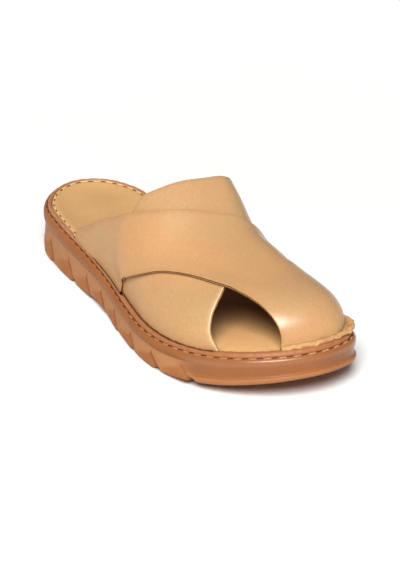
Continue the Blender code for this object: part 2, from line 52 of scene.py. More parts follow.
ORIGIN = np.array([128.15008, -2.66391, 0.0])

# Sole outline at the stitched groove, seen from above
HEEL_BACK = (0.0, 0.0)
TOE_TIP = (256.0, 9.0)
OUTLINE = (
    # station, outer half width, inner half width
    (7.0, 17.5, 17.8),
    (25.0, 31.0, 28.2),
    (50.0, 35.7, 31.0),
    (85.0, 37.5, 32.2),
    (120.0, 40.3, 35.2),
    (150.0, 45.4, 37.8),
    (175.0, 48.4, 40.5),
    (197.0, 47.0, 42.5),
    (217.0, 41.4, 42.6),
    (234.0, 31.2, 39.9),
    (247.0, 17.0, 32.6),
    (253.0, 5.5, 23.4),
)
GROOVE_HEIGHT = (
    # station, height of the stitched groove above the floor
    (-5.0, 29.2),
    (50.0, 26.3),
    (100.0, 21.6),
    (150.0, 17.1),
    (190.0, 16.1),
    (225.0, 19.1),
    (260.0, 25.0),
)

# Underside: heel and forefoot flats, arch between them, toe spring ahead of them
HEEL_FLAT = (8.0, 80.0)
FOREFOOT_FLAT = (142.0, 178.0)
HEEL_BEVEL = 2.0
ARCH_LIFT = 2.4
TOE_SPRING = 13.2
SPRING_RUN = 82.0
TREAD_GROOVES = (44.0, 75.0, 168.0, 193.0, 217.0)
TREAD_HALF_WIDTH = 2.0
TREAD_DEPTH = 2.2
TREAD_SLOPE = 0.8
TREAD_FADE = 4
FINE_TREAD_PITCH = 8.0
FINE_TREAD_ZIGZAG = 14.0
FINE_TREAD_SWING = 4.5
FINE_TREAD_DEPTH = 1.1
FINE_TREAD_WALL = (0.7, 1.6)
FINE_TREAD_BORDER = (5.5, 7.0)
SHANK = (82.0, 90.0, 132.0, 140.0)

# Side wall of the outsole
LUG_STEPS = (43.5, 71.5, 96.0, 117.0, 139.0, 166.0, 190.0, 213.0)
LUG_REACH = 0.7
LUG_START_SHARE = 0.25
LUG_TOP = (0.14, 0.51)
LUG_TOP_CURVE = 0.8
LUG_TOP_SOFT = (-0.055, 0.03)
LUG_FOOT = (-0.03, 0.06)
LUG_LEAN = ((0.0, 6.0), (120.0, 7.0), (190.0, 8.0), (256.0, 8.0))
LEAN_RUN = (8.0, 30.0, 222.0, 238.0)
# Shares of the wall's height where a leaning lug keeps its station, leans most and stands upright again
LEAN_SHARES = (0.25, 0.5, 0.78)
# Slit and line of painted shade at a lug's end: way past the end, half width
LUG_SLIT = (0.3, 0.4)
LUG_SLIT_DEPTH = 0.45
LUG_SLIT_TOP = (0.46, 0.60)
LUG_LINE = (0.1, 0.5)
LUG_LINE_PEAK = 1.3
TOE_LIP_FROM = (206.0, 222.0)
SOLE_STEP = 1.1
LUG_MARKS = (-1.1, -0.5, -0.2, 0.0, 0.2, 0.4, 0.6, 0.9, 1.5)
LUG_MARK_ROOM = 0.5
WALL_SHARES = (
    *(0.0, 0.02, 0.05, 0.09, 0.13, 0.17, 0.20, 0.222, 0.243, 0.262, 0.285, 0.31, 0.335),
    *(0.36, 0.39, 0.42, 0.45, 0.48, 0.51, 0.54, 0.58, 0.62, 0.66, 0.69, 0.705, 0.72),
    *(0.74, 0.77, 0.81, 0.86, 0.91, 0.945, 0.97, 0.99, 1.0),
)
SIDE_WALL = (
    # share of height, outset
    (0.0, 0.8),
    (0.05, 1.4),
    (0.15, 1.55),
    (0.45, 1.3),
    (0.60, 0.95),
    (0.69, 0.85),
    (0.725, 1.35),
    (0.79, 1.75),
    (0.87, 1.9),
    (0.94, 1.6),
    (0.98, 0.95),
    (1.0, 0.2),
)
TOE_WALL = (
    # share of height, outset
    (0.0, 0.7),
    (0.05, 1.7),
    (0.12, 2.2),
    (0.20, 2.3),
    (0.24, 2.1),
    (0.262, 1.5),
    (0.285, 0.95),
    (0.34, 0.8),
    (0.45, 1.0),
    (0.60, 1.35),
    (0.75, 1.75),
    (0.85, 1.85),
    (0.92, 1.6),
    (0.97, 1.0),
    (1.0, 0.2),
)
# Colours of the wall by its height: the pale band's top, the toe lip's top, lug colour, polish
PALE_TOP = (0.69, 0.71)
LIP_TOP = (0.21, 0.26)
LIP_PALE = 0.7
LIP_LUG = 0.5
LUG_SHADE_SOFT = (-0.12, 0.02)
LUG_SHADE_GROWTH = (0.0, 0.6)
POLISH_RUN = (0.62, 0.85)
POLISH_LEAST = 0.25
# Painted shade: a dark line in each lug's slit, a darker channel inside the groove, and a darker underside
# that also deepens the shadow on the floor under the toe
LUG_SLIT_SHADE = 0.8
CHANNEL_SHADE = 0.55
UNDERSIDE_SHADE = 0.45
CHANNEL_INSET = 0.4
CHANNEL_DROP = 0.6
PLATFORM_DROP = 2.0
SOLE_COLUMNS = 64
PLATFORM_COLUMNS = 6

# The two sides change over along the line from heel to toe
SIDE_BLEND = 8.0

# Welt: a roll inside the groove, slimmer round the heel and beside the outer straps
WELT_START = 0.7
WELT_WIDTH = 4.05
WELT = (
    # width from its outer face, height above the groove
    (0.0, -1.3),
    (0.0, 0.1),
    (0.1, 0.85),
    (0.4, 1.5),
    (0.9, 2.0),
    (1.5, 2.35),
    (2.2, 2.5),
    (2.9, 2.4),
    (3.5, 2.05),
    (3.9, 1.45),
    (4.05, 0.6),
    (4.05, -1.3),
)
WELT_STEP = 1.0
WELT_NARROW = 0.6
WELT_LOW = 0.7
WELT_HEEL_RUN = (48.0, 68.0)
WELT_WIDEN_RUN = (223.0, 231.0)
WELT_TIGHT_NARROW = 0.24
WELT_TIGHT_LOW = 0.5
WELT_TIGHT_RUN = (66.0, 71.0, 135.5, 143.0)
WELT_PINCH = 0.08
WELT_PULL = 0.12
WELT_PULL_TO = 2.0
WELT_PALE_RUN = (60.0, 190.0)

# Stitches: short rods with round ends
CAPSULE_SIDES = 8
CAPSULE = (
    # share of the length, share of the radius
    *((-0.5, 0.0), (-0.47, 0.45), (-0.38, 0.85), (-0.2, 1.0)),
    *((0.2, 1.0), (0.38, 0.85), (0.47, 0.45), (0.5, 0.0)),
)
THREAD_FLAT = 0.9
LOOK_AHEAD = 0.002

# Stitches in the groove
STITCH_PITCH = 7.4
STITCH_LENGTH = 4.4
STITCH_RADIUS = 0.42
# Dark slots between the stitches: painted shade in the stitch holes
SLOT_LENGTH = 3.8
SLOT_RADIUS = 0.38
THREAD_INSET = 0.05
SLOT_INSET = 0.85
SLOT_LIFT = 0.15
STITCH_SINK = 0.22
STITCH_SINK_RUN = (120.0, 165.0)
STITCH_SLANT = 4.0
BROWN_THREAD_TO = 155.0
PALE_THREAD_FROM = 243.0

# Insole, with a rolled rim and a line of stitches inside it
INSOLE_BARE_GAP = 0.15
INSOLE_STRAP_GAP = 0.45
INSOLE_STEP_RUN = 2.0
INSOLE_CLEAR = -1.0
INSOLE_STEP = 1.4
INSOLE_COLUMNS = 44
INSOLE_RIM = (
    # inset, height above the groove
    (0.0, -1.5),
    (0.0, 0.5),
    (0.06, 0.95),
    (0.2, 1.3),
    (0.42, 1.45),
    (0.66, 1.35),
    (0.84, 1.05),
    (1.0, 0.85),
    (1.2, 0.8),
    (1.5, 0.95),
    (2.1, 1.1),
    (3.4, 1.15),
)
INSOLE_OUTER_FACE = 0.3
INSOLE_CREASE = (0.9, 1.3)
INSOLE_RIM_END = (120.0, 180.0)
# Over this run the insole turns paler towards the toe: painted light where light falls into the cut-out
INSOLE_PAINTED_LIGHT_RUN = (180.0, 225.0)
INSOLE_PLAIN = 1.15
INSOLE_DISH_REACH = 24.0
INSOLE_CUP = (
    # station, depth of the dish below its rim
    (0.0, 2.3),
    (60.0, 2.1),
    (120.0, 1.0),
    (185.0, 0.4),
    (215.0, -1.4),
    (256.0, -1.6),
)
RIM_STITCH_INSET = 1.1
RIM_STITCH_PITCH = 7.6
RIM_STITCH_LENGTH = 4.8
RIM_STITCH_RADIUS = 0.58
RIM_STITCH_LIFT = 1.1
RIM_STITCH_TO = 110.0
# Dark holes between the rim's stitches: painted shade
RIM_HOLE_LENGTH = 3.3
RIM_HOLE_RADIUS = 0.42
RIM_HOLE_FLAT = 0.8
RIM_HOLE_SINK = 0.12
# Stitches stay this close to the rim where no strap covers it
RIM_NEAR = 1.5
RIM_COVERED = 0.02

# Last: the form inside the upper, by sections across the foot
LAST_INSET = 7.2
LAST_OUTER_INSET = 5.6
LAST_OUTER_RUN = (210.0, 238.0)
LAST_BASE = 2.0
LAST = (
    # station, height of the ridge, ridge towards the inner side, outer roundness, inner roundness
    (60.0, 107.0, 4.0, 0.85, 0.70),
    (95.0, 97.0, 8.0, 0.85, 0.60),
    (125.0, 84.0, 12.0, 0.85, 0.50),
    (145.0, 72.0, 12.0, 0.85, 0.65),
    (165.0, 58.0, 9.0, 0.84, 0.88),
    (190.0, 49.5, 7.5, 0.83, 0.735),
    (212.0, 46.5, 8.0, 0.82, 0.70),
    (256.0, 46.5, 8.0, 0.82, 0.60),
)
TOE_CENTRE = 212.0

# Straps, laid out on the last's flat pattern
STRAP_WALL = 2.0
STRAP_GAP = 0.12
STRAP_FALL = 22.0
STRAP_RISE = 5.0
STAND_OFF = 1.4
STAND_OFF_RISE = 22.0
STAND_OFF_END = (150.0, 165.0)
HEM_DEPTH = 3.4
STRAP_STEP = 1.1
RIB_STEP = 2.0
RIB_EDGE = 1.3
RIB_POINTS = 120
FAN_ANGLES = (-90.0, 90.5, 2.6)
FAN_START = 0.12
BASE_SKIP = 6
PATTERN_STEP = 0.2
PATTERN_MERGE = 1e-5
STRAP_EDGE = (
    # inset from the cut, height above the lining's face, from the leather's face round to the lining's
    (0.50, 2.00),
    (0.20, 1.95),
    (0.05, 1.80),
    (0.00, 1.58),
    (0.00, 1.14),
    (0.18, 1.05),
    (0.18, 0.95),
    (0.00, 0.86),
    (0.00, 0.34),
    (0.08, 0.10),
    (0.50, 0.00),
)
EDGE_RAISE = 0.9
EDGE_RAISE_RUN = 8.0
# Dark wear along the cut edges, and a painted highlight along an open front edge: pale leather on its face
# and cut
EDGE_WEAR_RUN = (0.5, 2.2)
FRONT_REACH = (1.0, 2.0)
EDGE_HIGHLIGHT_RUN = (0.4, 0.7)
EDGE_HIGHLIGHT_FACE = 0.3
EDGE_HIGHLIGHT_ON_CUT = 0.8
OVER_REAR_BASE = 70.0
OVER_FRONT_BASE = 133.5
OVER_INNER_BASE = 156.0
OVER_TOE_BASE = 246.7
OVER_REAR_EDGE = (
    # x, y on the pattern, from the outer side over to the inner side
    (73.0, -30.8),
    (79.0, -29.6),
    (87.5, -28.4),
    (99.5, -26.0),
    (120.0, -20.5),
    (136.0, -14.0),
    (145.5, -8.0),
    (151.0, -2.0),
    (159.5, 8.5),
    (165.0, 15.0),
    (165.5, 24.0),
)
OVER_FRONT_EDGE = (
    # x, y on the pattern, from the outer side forward to the toe
    (142.5, -34.4),
    (150.5, -32.2),
    (160.0, -28.5),
    (175.0, -20.2),
    (188.5, -14.1),
    (207.0, -8.0),
    (222.5, -3.8),
    (232.5, -4.2),
    (240.0, -5.8),
)
UNDER_REAR_OUTER_BASE = 136.5
UNDER_FRONT_OUTER_BASE = 227.0
UNDER_REAR_INNER_BASE = 80.0
UNDER_FRONT_INNER_BASE = 152.0
UNDER_REAR_EDGE = (
    # x, y on the pattern, from the outer side over to the inner side
    (136.5, -29.7),
    (129.5, -17.3),
    (129.5, -11.6),
    (134.0, -4.1),
    (137.6, 4.6),
    (139.8, 11.6),
    (140.0, 15.0),
    (136.5, 19.6),
    (130.0, 22.5),
    (118.0, 25.1),
    (98.0, 25.6),
)
UNDER_FRONT_EDGE = (
    # x, y on the pattern, from the outer side over to the inner side
    (219.0, -28.4),
    (215.0, -20.8),
    (211.5, -12.3),
    (203.2, -4.0),
    (190.0, 6.0),
    (176.0, 18.0),
    (167.5, 27.0),
)
SHARP_ANGLE = 50.0


# Helpers for curves and outlines


def smooth(xs, ys):
    """A smooth curve through a table: a function that gives y, or a point, for x."""
    xs = np.asarray(xs, float)
    ys = np.asarray(ys, float)
    slopes = np.gradient(ys, xs, axis=0)

    def value(x):
        x = np.clip(x, xs[0], xs[-1])
        i = np.clip(np.searchsorted(xs, x) - 1, 0, len(xs) - 2)
        span = xs[i + 1] - xs[i]
        t = (x - xs[i]) / span
        if ys.ndim > 1:
            t = t[..., None]
            span = span[..., None]
        start = (1 + 2 * t) * (1 - t) ** 2 * ys[i] + t * (1 - t) ** 2 * span * slopes[i]
        end = t**2 * (3 - 2 * t) * ys[i + 1] + t**2 * (t - 1) * span * slopes[i + 1]
        return start + end

    return value


def column(table, index):
    return [row[index] for row in table]


def read(table, x, index=1):
    """A column of a table, read at x by straight lines."""
    return np.interp(x, column(table, 0), column(table, index))


def smooth_column(table, index=1):
    """A column of a table, as a smooth function of the first one."""
    return smooth(column(table, 0), column(table, index))


def ramp(x, start, end):
    """0 before start, 1 after end, and a soft S between them."""
    t = np.clip((x - start) / (end - start), 0.0, 1.0)
    return t * t * (3 - 2 * t)


def plateau(x, start, full, last, end):
    """Rises softly from start to full, and falls again from last to end."""
    return ramp(x, start, full) * (1 - ramp(x, last, end))


def unit(vectors):
    return vectors / np.linalg.norm(vectors, axis=1)[:, None]


def lengths(points):
    steps = np.linalg.norm(np.diff(points, axis=0), axis=1)
    return np.concatenate(([0.0], np.cumsum(steps)))


def along(points, shares):
    """Points at the given shares of a polyline's length."""
    run = lengths(points)
    wanted = np.asarray(shares) * run[-1]
    return np.stack([np.interp(wanted, run, points[:, i]) for i in range(points.shape[1])], axis=1)


def curve(points):
    """A smooth open curve through points, as a fine polyline."""
    points = np.asarray(points, float)
    run = lengths(points)
    return smooth(run, points)(np.linspace(0.0, run[-1], FINE))


def sole_sides():
    """The outer and the inner side of the groove line, each as a fine polyline from heel to toe."""
    outer = [(x, -y) for x, y, _ in OUTLINE]
    inner = [(x, y) for x, _, y in OUTLINE]
    loop = np.array([HEEL_BACK, *outer, TOE_TIP, *inner[::-1], HEEL_BACK])
    count = len(loop) - 1
    extra = 3
    wrapped = np.concatenate([loop[-1 - extra : -1], loop, loop[1 : 1 + extra]])
    # Steps by the root of the distance keep the round ends free of bumps
    run = np.concatenate(([0.0], np.cumsum(np.sqrt(np.linalg.norm(np.diff(wrapped, axis=0), axis=1)))))
    line = smooth(run, wrapped)
    heel = run[extra]
    toe = run[extra + len(outer) + 1]
    end = run[extra + count]
    return line(np.linspace(heel, toe, FINE)), line(np.linspace(end, toe, FINE))


OUTER_SIDE, INNER_SIDE = sole_sides()
SIDE_RUN = lengths(OUTER_SIDE)


def groove_ring(shares):
    """The groove line as one closed ring: heel, outer side, toe, inner side."""
    outer = along(OUTER_SIDE, shares)
    inner = along(INNER_SIDE, shares)
    return np.concatenate([outer, inner[-2:0:-1]])


def even_ring(step):
    """The groove line with points at about even steps."""
    return groove_ring(np.linspace(0.0, 1.0, int(SIDE_RUN[-1] / step) + 1))


def outset(ring, amount):
    """Moves a closed ring outwards by amount, one number or one for each point."""
    direction = np.roll(ring, -1, axis=0) - np.roll(ring, 1, axis=0)
    normal = unit(np.stack([direction[:, 1], -direction[:, 0]], axis=1))
    if np.sum(normal * (ring - ring.mean(axis=0))) < 0:
        normal = -normal
    return ring + normal * np.broadcast_to(amount, len(ring))[:, None]


GROOVE = smooth_column(GROOVE_HEIGHT)


def with_height(ring, height):
    return np.column_stack([ring, np.broadcast_to(height, len(ring))])


def underside(x):
    """Height of the sole's underside: bevel, heel flat, arch, forefoot flat and toe spring."""
    bevel = HEEL_BEVEL * (np.clip(HEEL_FLAT[0] - x, 0.0, None) / HEEL_FLAT[0]) ** 2
    arch_share = np.clip((x - HEEL_FLAT[1]) / (FOREFOOT_FLAT[0] - HEEL_FLAT[1]), 0.0, 1.0)
    arch = ARCH_LIFT * np.sin(np.pi * arch_share) ** 2
    spring = TOE_SPRING * (np.clip(x - FOREFOOT_FLAT[1], 0.0, None) / SPRING_RUN) ** 2
    return np.minimum(bevel, HEEL_BEVEL) + arch + spring


def ring_shares(shares):
    return np.concatenate([shares, shares[-2:0:-1]])


def side_places(ring_share):
    """Where each ring point lies along the outer side, as a station in millimetres."""
    return along(OUTER_SIDE, ring_share)[:, 0]


def outer_part(ring):
    """1 on the outer side of the line from heel to toe, 0 on its inner side."""
    middle = np.interp(ring[:, 0], [HEEL_BACK[0], TOE_TIP[0]], [HEEL_BACK[1], TOE_TIP[1]])
    return ramp(middle - ring[:, 1], -SIDE_BLEND, SIDE_BLEND)


def distance_inside(flat, outline):
    """Distance from points to a closed outline, positive inside it."""
    start = outline
    step = np.roll(outline, -1, axis=0) - outline
    away = np.empty(len(flat))
    inside = np.empty(len(flat), bool)
    for first in range(0, len(flat), FINE):
        part = flat[first : first + FINE]
        offset = part[:, None] - start[None]
        share = np.sum(offset * step, axis=2) / np.maximum(np.sum(step * step, axis=1), TINY)
        nearest = offset - step[None] * np.clip(share, 0.0, 1.0)[:, :, None]
        away[first : first + FINE] = np.linalg.norm(nearest, axis=2).min(axis=1)
        above = start[None, :, 1] > part[:, None, 1]
        crossing = above != np.roll(above, -1, axis=1)
        with np.errstate(divide="ignore", invalid="ignore"):
            cut = start[:, 0] + step[:, 0] * (part[:, None, 1] - start[:, 1]) / step[:, 1]
        inside[first : first + FINE] = np.sum(crossing & (part[:, None, 0] < cut), axis=1) % 2 == 1
    return np.where(inside, away, -away)


def distance_to_line(flat, line):
    """Distance from points to an open line."""
    away = np.full(len(flat), np.inf)
    for place in along(line, np.linspace(0.0, 1.0, LINE_POINTS)):
        away = np.minimum(away, np.linalg.norm(flat - place, axis=1))
    return away


# Meshes


class Skin:
    """Collects rings of points, their marks and the faces between them."""

    def __init__(self, *marks):
        self.points = []
        self.faces = []
        self.slots = []
        self.marks = {mark: [] for mark in marks}
        self.count = 0

    def add(self, points, **marks):
        first = self.count
        self.points.append(np.asarray(points, float))
        self.count += len(points)
        for mark, values in self.marks.items():
            values.append(np.broadcast_to(marks.get(mark, 0.0), len(points)))
        return np.arange(first, self.count)

    def face(self, corners, slot=0):
        self.faces.append(corners)
        self.slots.append(slot)

    def band(self, lower, upper, slot=0, closed=True):
        """Faces between two lines of points of equal length."""
        count = len(lower)
        for i in range(count if closed else count - 1):
            j = (i + 1) % count
            self.face((lower[i], lower[j], upper[j], upper[i]), slot)

    def bands(self, lines, closed=True):
        """Faces between each line of points and the next."""
        for lower, upper in zip(lines, lines[1:]):
            self.band(lower, upper, closed=closed)

    def cap(self, ring, rows, up, marks=None, slot=0):
        """Closes a ring with rows of points that run between its two sides."""
        half = len(ring) // 2
        lines = [[ring[0]]]
        for k in range(1, half):
            given = marks[k - 1] if marks else {}
            lines.append([ring[k], *self.add(rows[k - 1], **given), ring[len(ring) - k]])
        lines.append([ring[half]])
        for near, far in zip(lines, lines[1:]):
            last = max(len(near), len(far)) - 1
            for j in range(last):
                corners = (
                    near[min(j, len(near) - 1)],
                    far[min(j, len(far) - 1)],
                    far[min(j + 1, len(far) - 1)],
                    near[min(j + 1, len(near) - 1)],
                )
                face = tuple(dict.fromkeys(corners))
                self.face(face if up else face[::-1], slot)

    def piece(self, name, materials, replaces=()):
        marks = {mark: np.concatenate(values) for mark, values in self.marks.items()}
        points = np.concatenate(self.points)
        return mesh_piece(name, points, self.faces, materials, self.slots, marks, replaces)


def mesh_piece(name, points, faces, materials, face_slots=(), marks=None, replaces=()):
    """A piece of the shoe: it rides on the body, takes a finish slot and may stand for a node."""
    mesh = bpy.data.meshes.new(name)
    mesh.from_pydata(((points - ORIGIN) * MM).tolist(), [], [tuple(int(i) for i in face) for face in faces])
    for material in materials:
        mesh.materials.append(material)
    if len(face_slots):
        mesh.polygons.foreach_set("material_index", np.asarray(face_slots, np.int32))
    for mark, values in (marks or {}).items():
        layer = mesh.attributes.new(mark, "FLOAT", "POINT")
        layer.data.foreach_set("value", np.asarray(values, np.float32))
    mesh.shade_smooth()
    mesh.set_sharp_from_angle(angle=math.radians(SHARP_ANGLE))
    mesh.update()
    made = bpy.data.objects.new(name, mesh)
    bpy.context.scene.collection.objects.link(made)
    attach(made, "root")
    if replaces:
        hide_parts(*replaces)
    return made


def across(ring, columns, height):
    """Rows of points between a ring's two sides; height takes points, shares across and the row."""
    half = len(ring) // 2
    share = np.linspace(0.0, 1.0, columns + 1)[1:-1]
    rows = []
    for k in range(1, half):
        outer = ring[k]
        inner = ring[len(ring) - k]
        flat = outer[:2] + (inner[:2] - outer[:2]) * share[:, None]
        rows.append(np.column_stack([flat, height(flat, share, k)]))
    return rows


def beside_groove(lift):
    """A height function for across: a face at an even height beside the groove."""
    return lambda flat, share, k: GROOVE(flat[:, 0]) + lift


# Finishes


def colour(red, green, blue):
    """A colour as seen on a screen, from 0 to 255, as the shader's linear values, by the screen's curve."""
    values = []
    for part in (red, green, blue):
        part = part / 255
        values.append(part / 12.92 if part <= 0.04045 else ((part + 0.055) / 1.055) ** 2.4)
    return (*values, 1.0)


# The part of a noise's range that a finish uses: most of it, or only its middle
NOISE_RANGE = (0.3, 0.7)
NOISE_MIDDLE = (0.35, 0.65)


class Finish:
    """A material with one Principled shader and the nodes that drive it."""

    def __init__(self, name):
        self.material = bpy.data.materials.new(name)
        self.material.use_nodes = True
        self.nodes = self.material.node_tree.nodes
        self.links = self.material.node_tree.links
        self.shader = self.nodes["Principled BSDF"]
        self.place = self.nodes.new("ShaderNodeTexCoord").outputs["Object"]

    def put(self, socket, value):
        if isinstance(value, bpy.types.NodeSocket):
            self.links.new(value, socket)
        else:
            socket.default_value = value

    def fill(self, node, values):
        for name, value in values.items():
            self.put(node.inputs[name.replace("_", " ")], value)

    def shade(self, **values):
        self.fill(self.shader, values)

    def node(self, kind, output, **values):
        node = self.nodes.new("ShaderNode" + kind)
        self.fill(node, values)
        return node.outputs[output]

    def stretched(self, scale, turn=(0.0, 0.0, 0.0)):
        """Coordinates scaled and turned before a texture reads them."""
        turned = [math.radians(angle) for angle in turn]
        return self.node("Mapping", "Vector", Vector=self.place, Rotation=turned, Scale=scale)

    def noise(self, scale, detail=3.0, roughness=0.55, place=None):
        place = place or self.place
        return self.node("TexNoise", "Fac", Vector=place, Scale=scale, Detail=detail, Roughness=roughness)

    def cells(self, scale):
        distance = self.node("TexVoronoi", "Distance", Vector=self.place, Scale=scale)
        distance.node.feature = "SMOOTH_F1"
        return distance

    def slope(self, place):
        """0 behind the start of the coordinates, rising to 1 along their X."""
        return self.node("TexGradient", "Fac", Vector=place)

    def mark(self, name):
        factor = self.node("Attribute", "Fac")
        factor.node.attribute_name = name
        return factor

    def remap(self, value, low, high, out_low=0.0, out_high=1.0):
        limits = {"From_Min": low, "From_Max": high, "To_Min": out_low, "To_Max": out_high}
        return self.node("MapRange", "Result", Value=value, **limits)

    def spread(self, noise, low=0.0, high=1.0):
        return self.remap(noise, *NOISE_RANGE, low, high)

    def between(self, mark, low, high):
        """A mark from 0 to 1, as a value from low to high."""
        return self.remap(self.mark(mark), 0.0, 1.0, low, high)

    def calculate(self, operation, first, second):
        node = self.nodes.new("ShaderNodeMath")
        node.operation = operation
        self.links.new(first, node.inputs[0])
        self.links.new(second, node.inputs[1])
        return node.outputs["Value"]

    def mix(self, factor, first, second):
        """One colour over another; a Mix node's colours are its inputs 6 and 7 and its output 2."""
        node = self.nodes.new("ShaderNodeMix")
        node.data_type = "RGBA"
        for index, value in ((0, factor), (6, first), (7, second)):
            self.put(node.inputs[index], value)
        return node.outputs[2]

    def bump(self, height, strength, distance, under=None):
        given = {"Height": height, "Strength": strength, "Distance": distance * MM}
        if under:
            given["Normal"] = under
        return self.node("Bump", "Normal", **given)


WARM_LEATHER = colour(207, 155, 104)
# Pale leather for fine scratch lines, and for the painted highlight along an open front edge
PALE_SCRATCH_AND_EDGE_HIGHLIGHT = colour(250, 224, 180)
LEATHER_PORES = colour(120, 78, 42)
# Darker leather for worn cut edges, and for painted shade in creases
WORN_EDGE_AND_CREASE_SHADE = colour(168, 112, 62)
DARK_FIBRES = colour(150, 100, 52)
# Darker rubber for painted shade in the lug slits, the channel and the underside
RUBBER_PAINTED_SHADE = colour(112, 66, 38)
RUBBER_SPECKS = colour(120, 68, 38)
WELT_TOE = colour(170, 110, 68)
WELT_HEEL = colour(178, 124, 84)
WELT_CLOUDS = colour(160, 96, 56)
WELT_SPECKS = colour(120, 70, 40)
COAT_ROUGH = 0.42
WORN_SPECULAR = (0.08, 0.7)
PLAIN_SPECULAR = 0.4
SOLE_SPECULAR = (0.03, 0.55)
WELT_SPECULAR = 0.32


def leather(name, light, deep, rough, coat, grain=1.0, front=None, worn=False):
    """Smooth dyed leather: cloudy colour, fine pebble grain, hair-fine scratches and a soft finish."""
    finish = Finish(name)
    clouds = finish.remap(finish.noise(38.0), *NOISE_MIDDLE)
    fine = finish.noise(420.0, 4.0, 0.6)
    pebble = finish.cells(820.0)
    scratches = finish.noise(260.0, 3.0, 0.65, finish.stretched((1.0, 7.0, 4.0), (20.0, 0.0, 40.0)))
    shade = finish.mix(clouds, light, deep)
    # A paler colour by the front mark: painted light
    if front:
        shade = finish.mix(finish.mark("front"), shade, front)
    if worn:
        patches = finish.remap(finish.noise(16.0, 2.0), *NOISE_MIDDLE, 0.0, 0.3)
        shade = finish.mix(finish.calculate("MAXIMUM", finish.mark("warm"), patches), shade, WARM_LEATHER)
        # Painted highlight: pale leather along an open front edge
        shade = finish.mix(finish.mark("rub"), shade, PALE_SCRATCH_AND_EDGE_HIGHLIGHT)
        shade = finish.mix(finish.remap(scratches, 0.5, 0.75, 0.0, 0.13), shade, PALE_SCRATCH_AND_EDGE_HIGHLIGHT)
    shade = finish.mix(finish.remap(fine, 0.35, 0.7, 0.0, 0.16), shade, deep)
    shade = finish.mix(finish.remap(pebble, 0.25, 0.75, 0.0, 0.08), shade, LEATHER_PORES)
    # The edge mark darkens worn cut edges, and creases as painted shade
    wear_and_crease_shade = finish.calculate("MULTIPLY", finish.mark("edge"), finish.remap(fine, 0.3, 0.6, 0.05, 0.3))
    shade = finish.mix(wear_and_crease_shade, shade, WORN_EDGE_AND_CREASE_SHADE)
    finish.shade(Base_Color=shade, Roughness=finish.spread(fine, rough - 0.07, rough + 0.09))
    finish.shade(Coat_Roughness=COAT_ROUGH)
    if worn:
        finish.shade(Coat_Weight=finish.between("gloss", 0.0, coat))
        finish.shade(Specular_IOR_Level=finish.between("gloss", *WORN_SPECULAR))
    else:
        finish.shade(Coat_Weight=coat, Specular_IOR_Level=PLAIN_SPECULAR)
    normal = finish.bump(clouds, 0.04, 0.9)
    normal = finish.bump(scratches, 0.03 * grain, 0.30, normal)
    normal = finish.bump(pebble, 0.30 * grain, 0.14, normal)
    normal = finish.bump(fine, 0.16 * grain, 0.12, normal)
    finish.shade(Normal=normal)
    return finish.material


def raw_edge(name, light, deep):
    """A cut through leather: pale and fibrous, with darker streaks along it."""
    finish = Finish(name)
    fibres = finish.noise(900.0, 4.0, 0.7)
    patches = finish.noise(170.0)
    shade = finish.mix(finish.spread(fibres), light, deep)
    shade = finish.mix(finish.remap(patches, 0.45, 0.7, 0.0, 0.35), shade, DARK_FIBRES)
    finish.shade(Base_Color=shade, Roughness=finish.spread(fibres, 0.7, 0.9))
    finish.shade(Normal=finish.bump(fibres, 0.5, 0.25))
    return finish.material


def dark_seam(name, deep=colour(70, 42, 24), light=colour(112, 72, 40)):
    """A dark line: the glue between two layers of leather, and painted shade in stitch holes, along a
    strap's foot and on the over strap's cut edge.
    """
    finish = Finish(name)
    specks = finish.noise(700.0)
    shade = finish.mix(finish.spread(specks), deep, light)
    finish.shade(Base_Color=shade, Roughness=finish.spread(specks, 0.75, 0.9))
    finish.shade(Normal=finish.bump(specks, 0.3, 0.2))
    return finish.material


def moulded_sole(name):
    """Moulded rubber: a polished upper band, a pale matt band and duller lugs below."""
    finish = Finish(name)
    clouds = finish.remap(finish.noise(30.0), *NOISE_MIDDLE)
    specks = finish.noise(520.0, 3.0, 0.6)
    streaks = finish.noise(120.0, 3.0, 0.6, finish.stretched((1.0, 1.0, 6.0)))
    band = finish.mix(clouds, colour(160, 101, 60), colour(151, 95, 55))
    pale = finish.mix(finish.spread(streaks), colour(182, 130, 88), colour(174, 122, 82))
    lug = finish.mix(clouds, colour(173, 111, 66), colour(164, 103, 60))
    shade = finish.mix(finish.mark("pale"), band, pale)
    shade = finish.mix(finish.mark("lug"), shade, lug)
    # Painted shade: darker rubber in the lug slits, the channel and the underside
    shade = finish.mix(finish.mark("dark"), shade, RUBBER_PAINTED_SHADE)
    shade = finish.mix(finish.remap(specks, 0.55, 0.8, 0.0, 0.08), shade, RUBBER_SPECKS)
    dull = finish.calculate("MAXIMUM", finish.mark("pale"), finish.mark("lug"))
    uneven = finish.spread(specks, -0.04, 0.06)
    rough = finish.calculate("ADD", finish.remap(dull, 0.0, 1.0, 0.27, 0.48), uneven)
    normal = finish.bump(specks, 0.10, 0.12, finish.bump(streaks, 0.12, 0.3))
    finish.shade(Base_Color=shade, Roughness=rough, Normal=normal)
    finish.shade(Specular_IOR_Level=finish.between("gloss", *SOLE_SPECULAR))
    return finish.material


def welt_roll(name):
    """The welt: lighter round the heel, redder round the toe."""
    finish = Finish(name)
    specks = finish.noise(520.0, 3.0, 0.6)
    clouds = finish.noise(60.0, 2.0)
    shade = finish.mix(finish.mark("heel"), WELT_TOE, WELT_HEEL)
    shade = finish.mix(finish.remap(clouds, 0.4, 0.7, 0.0, 0.3), shade, WELT_CLOUDS)
    shade = finish.mix(finish.remap(specks, 0.5, 0.8, 0.0, 0.3), shade, WELT_SPECKS)
    finish.shade(Base_Color=shade, Roughness=finish.spread(specks, 0.38, 0.52))
    finish.shade(Normal=finish.bump(specks, 0.15, 0.15), Specular_IOR_Level=WELT_SPECULAR)
    return finish.material


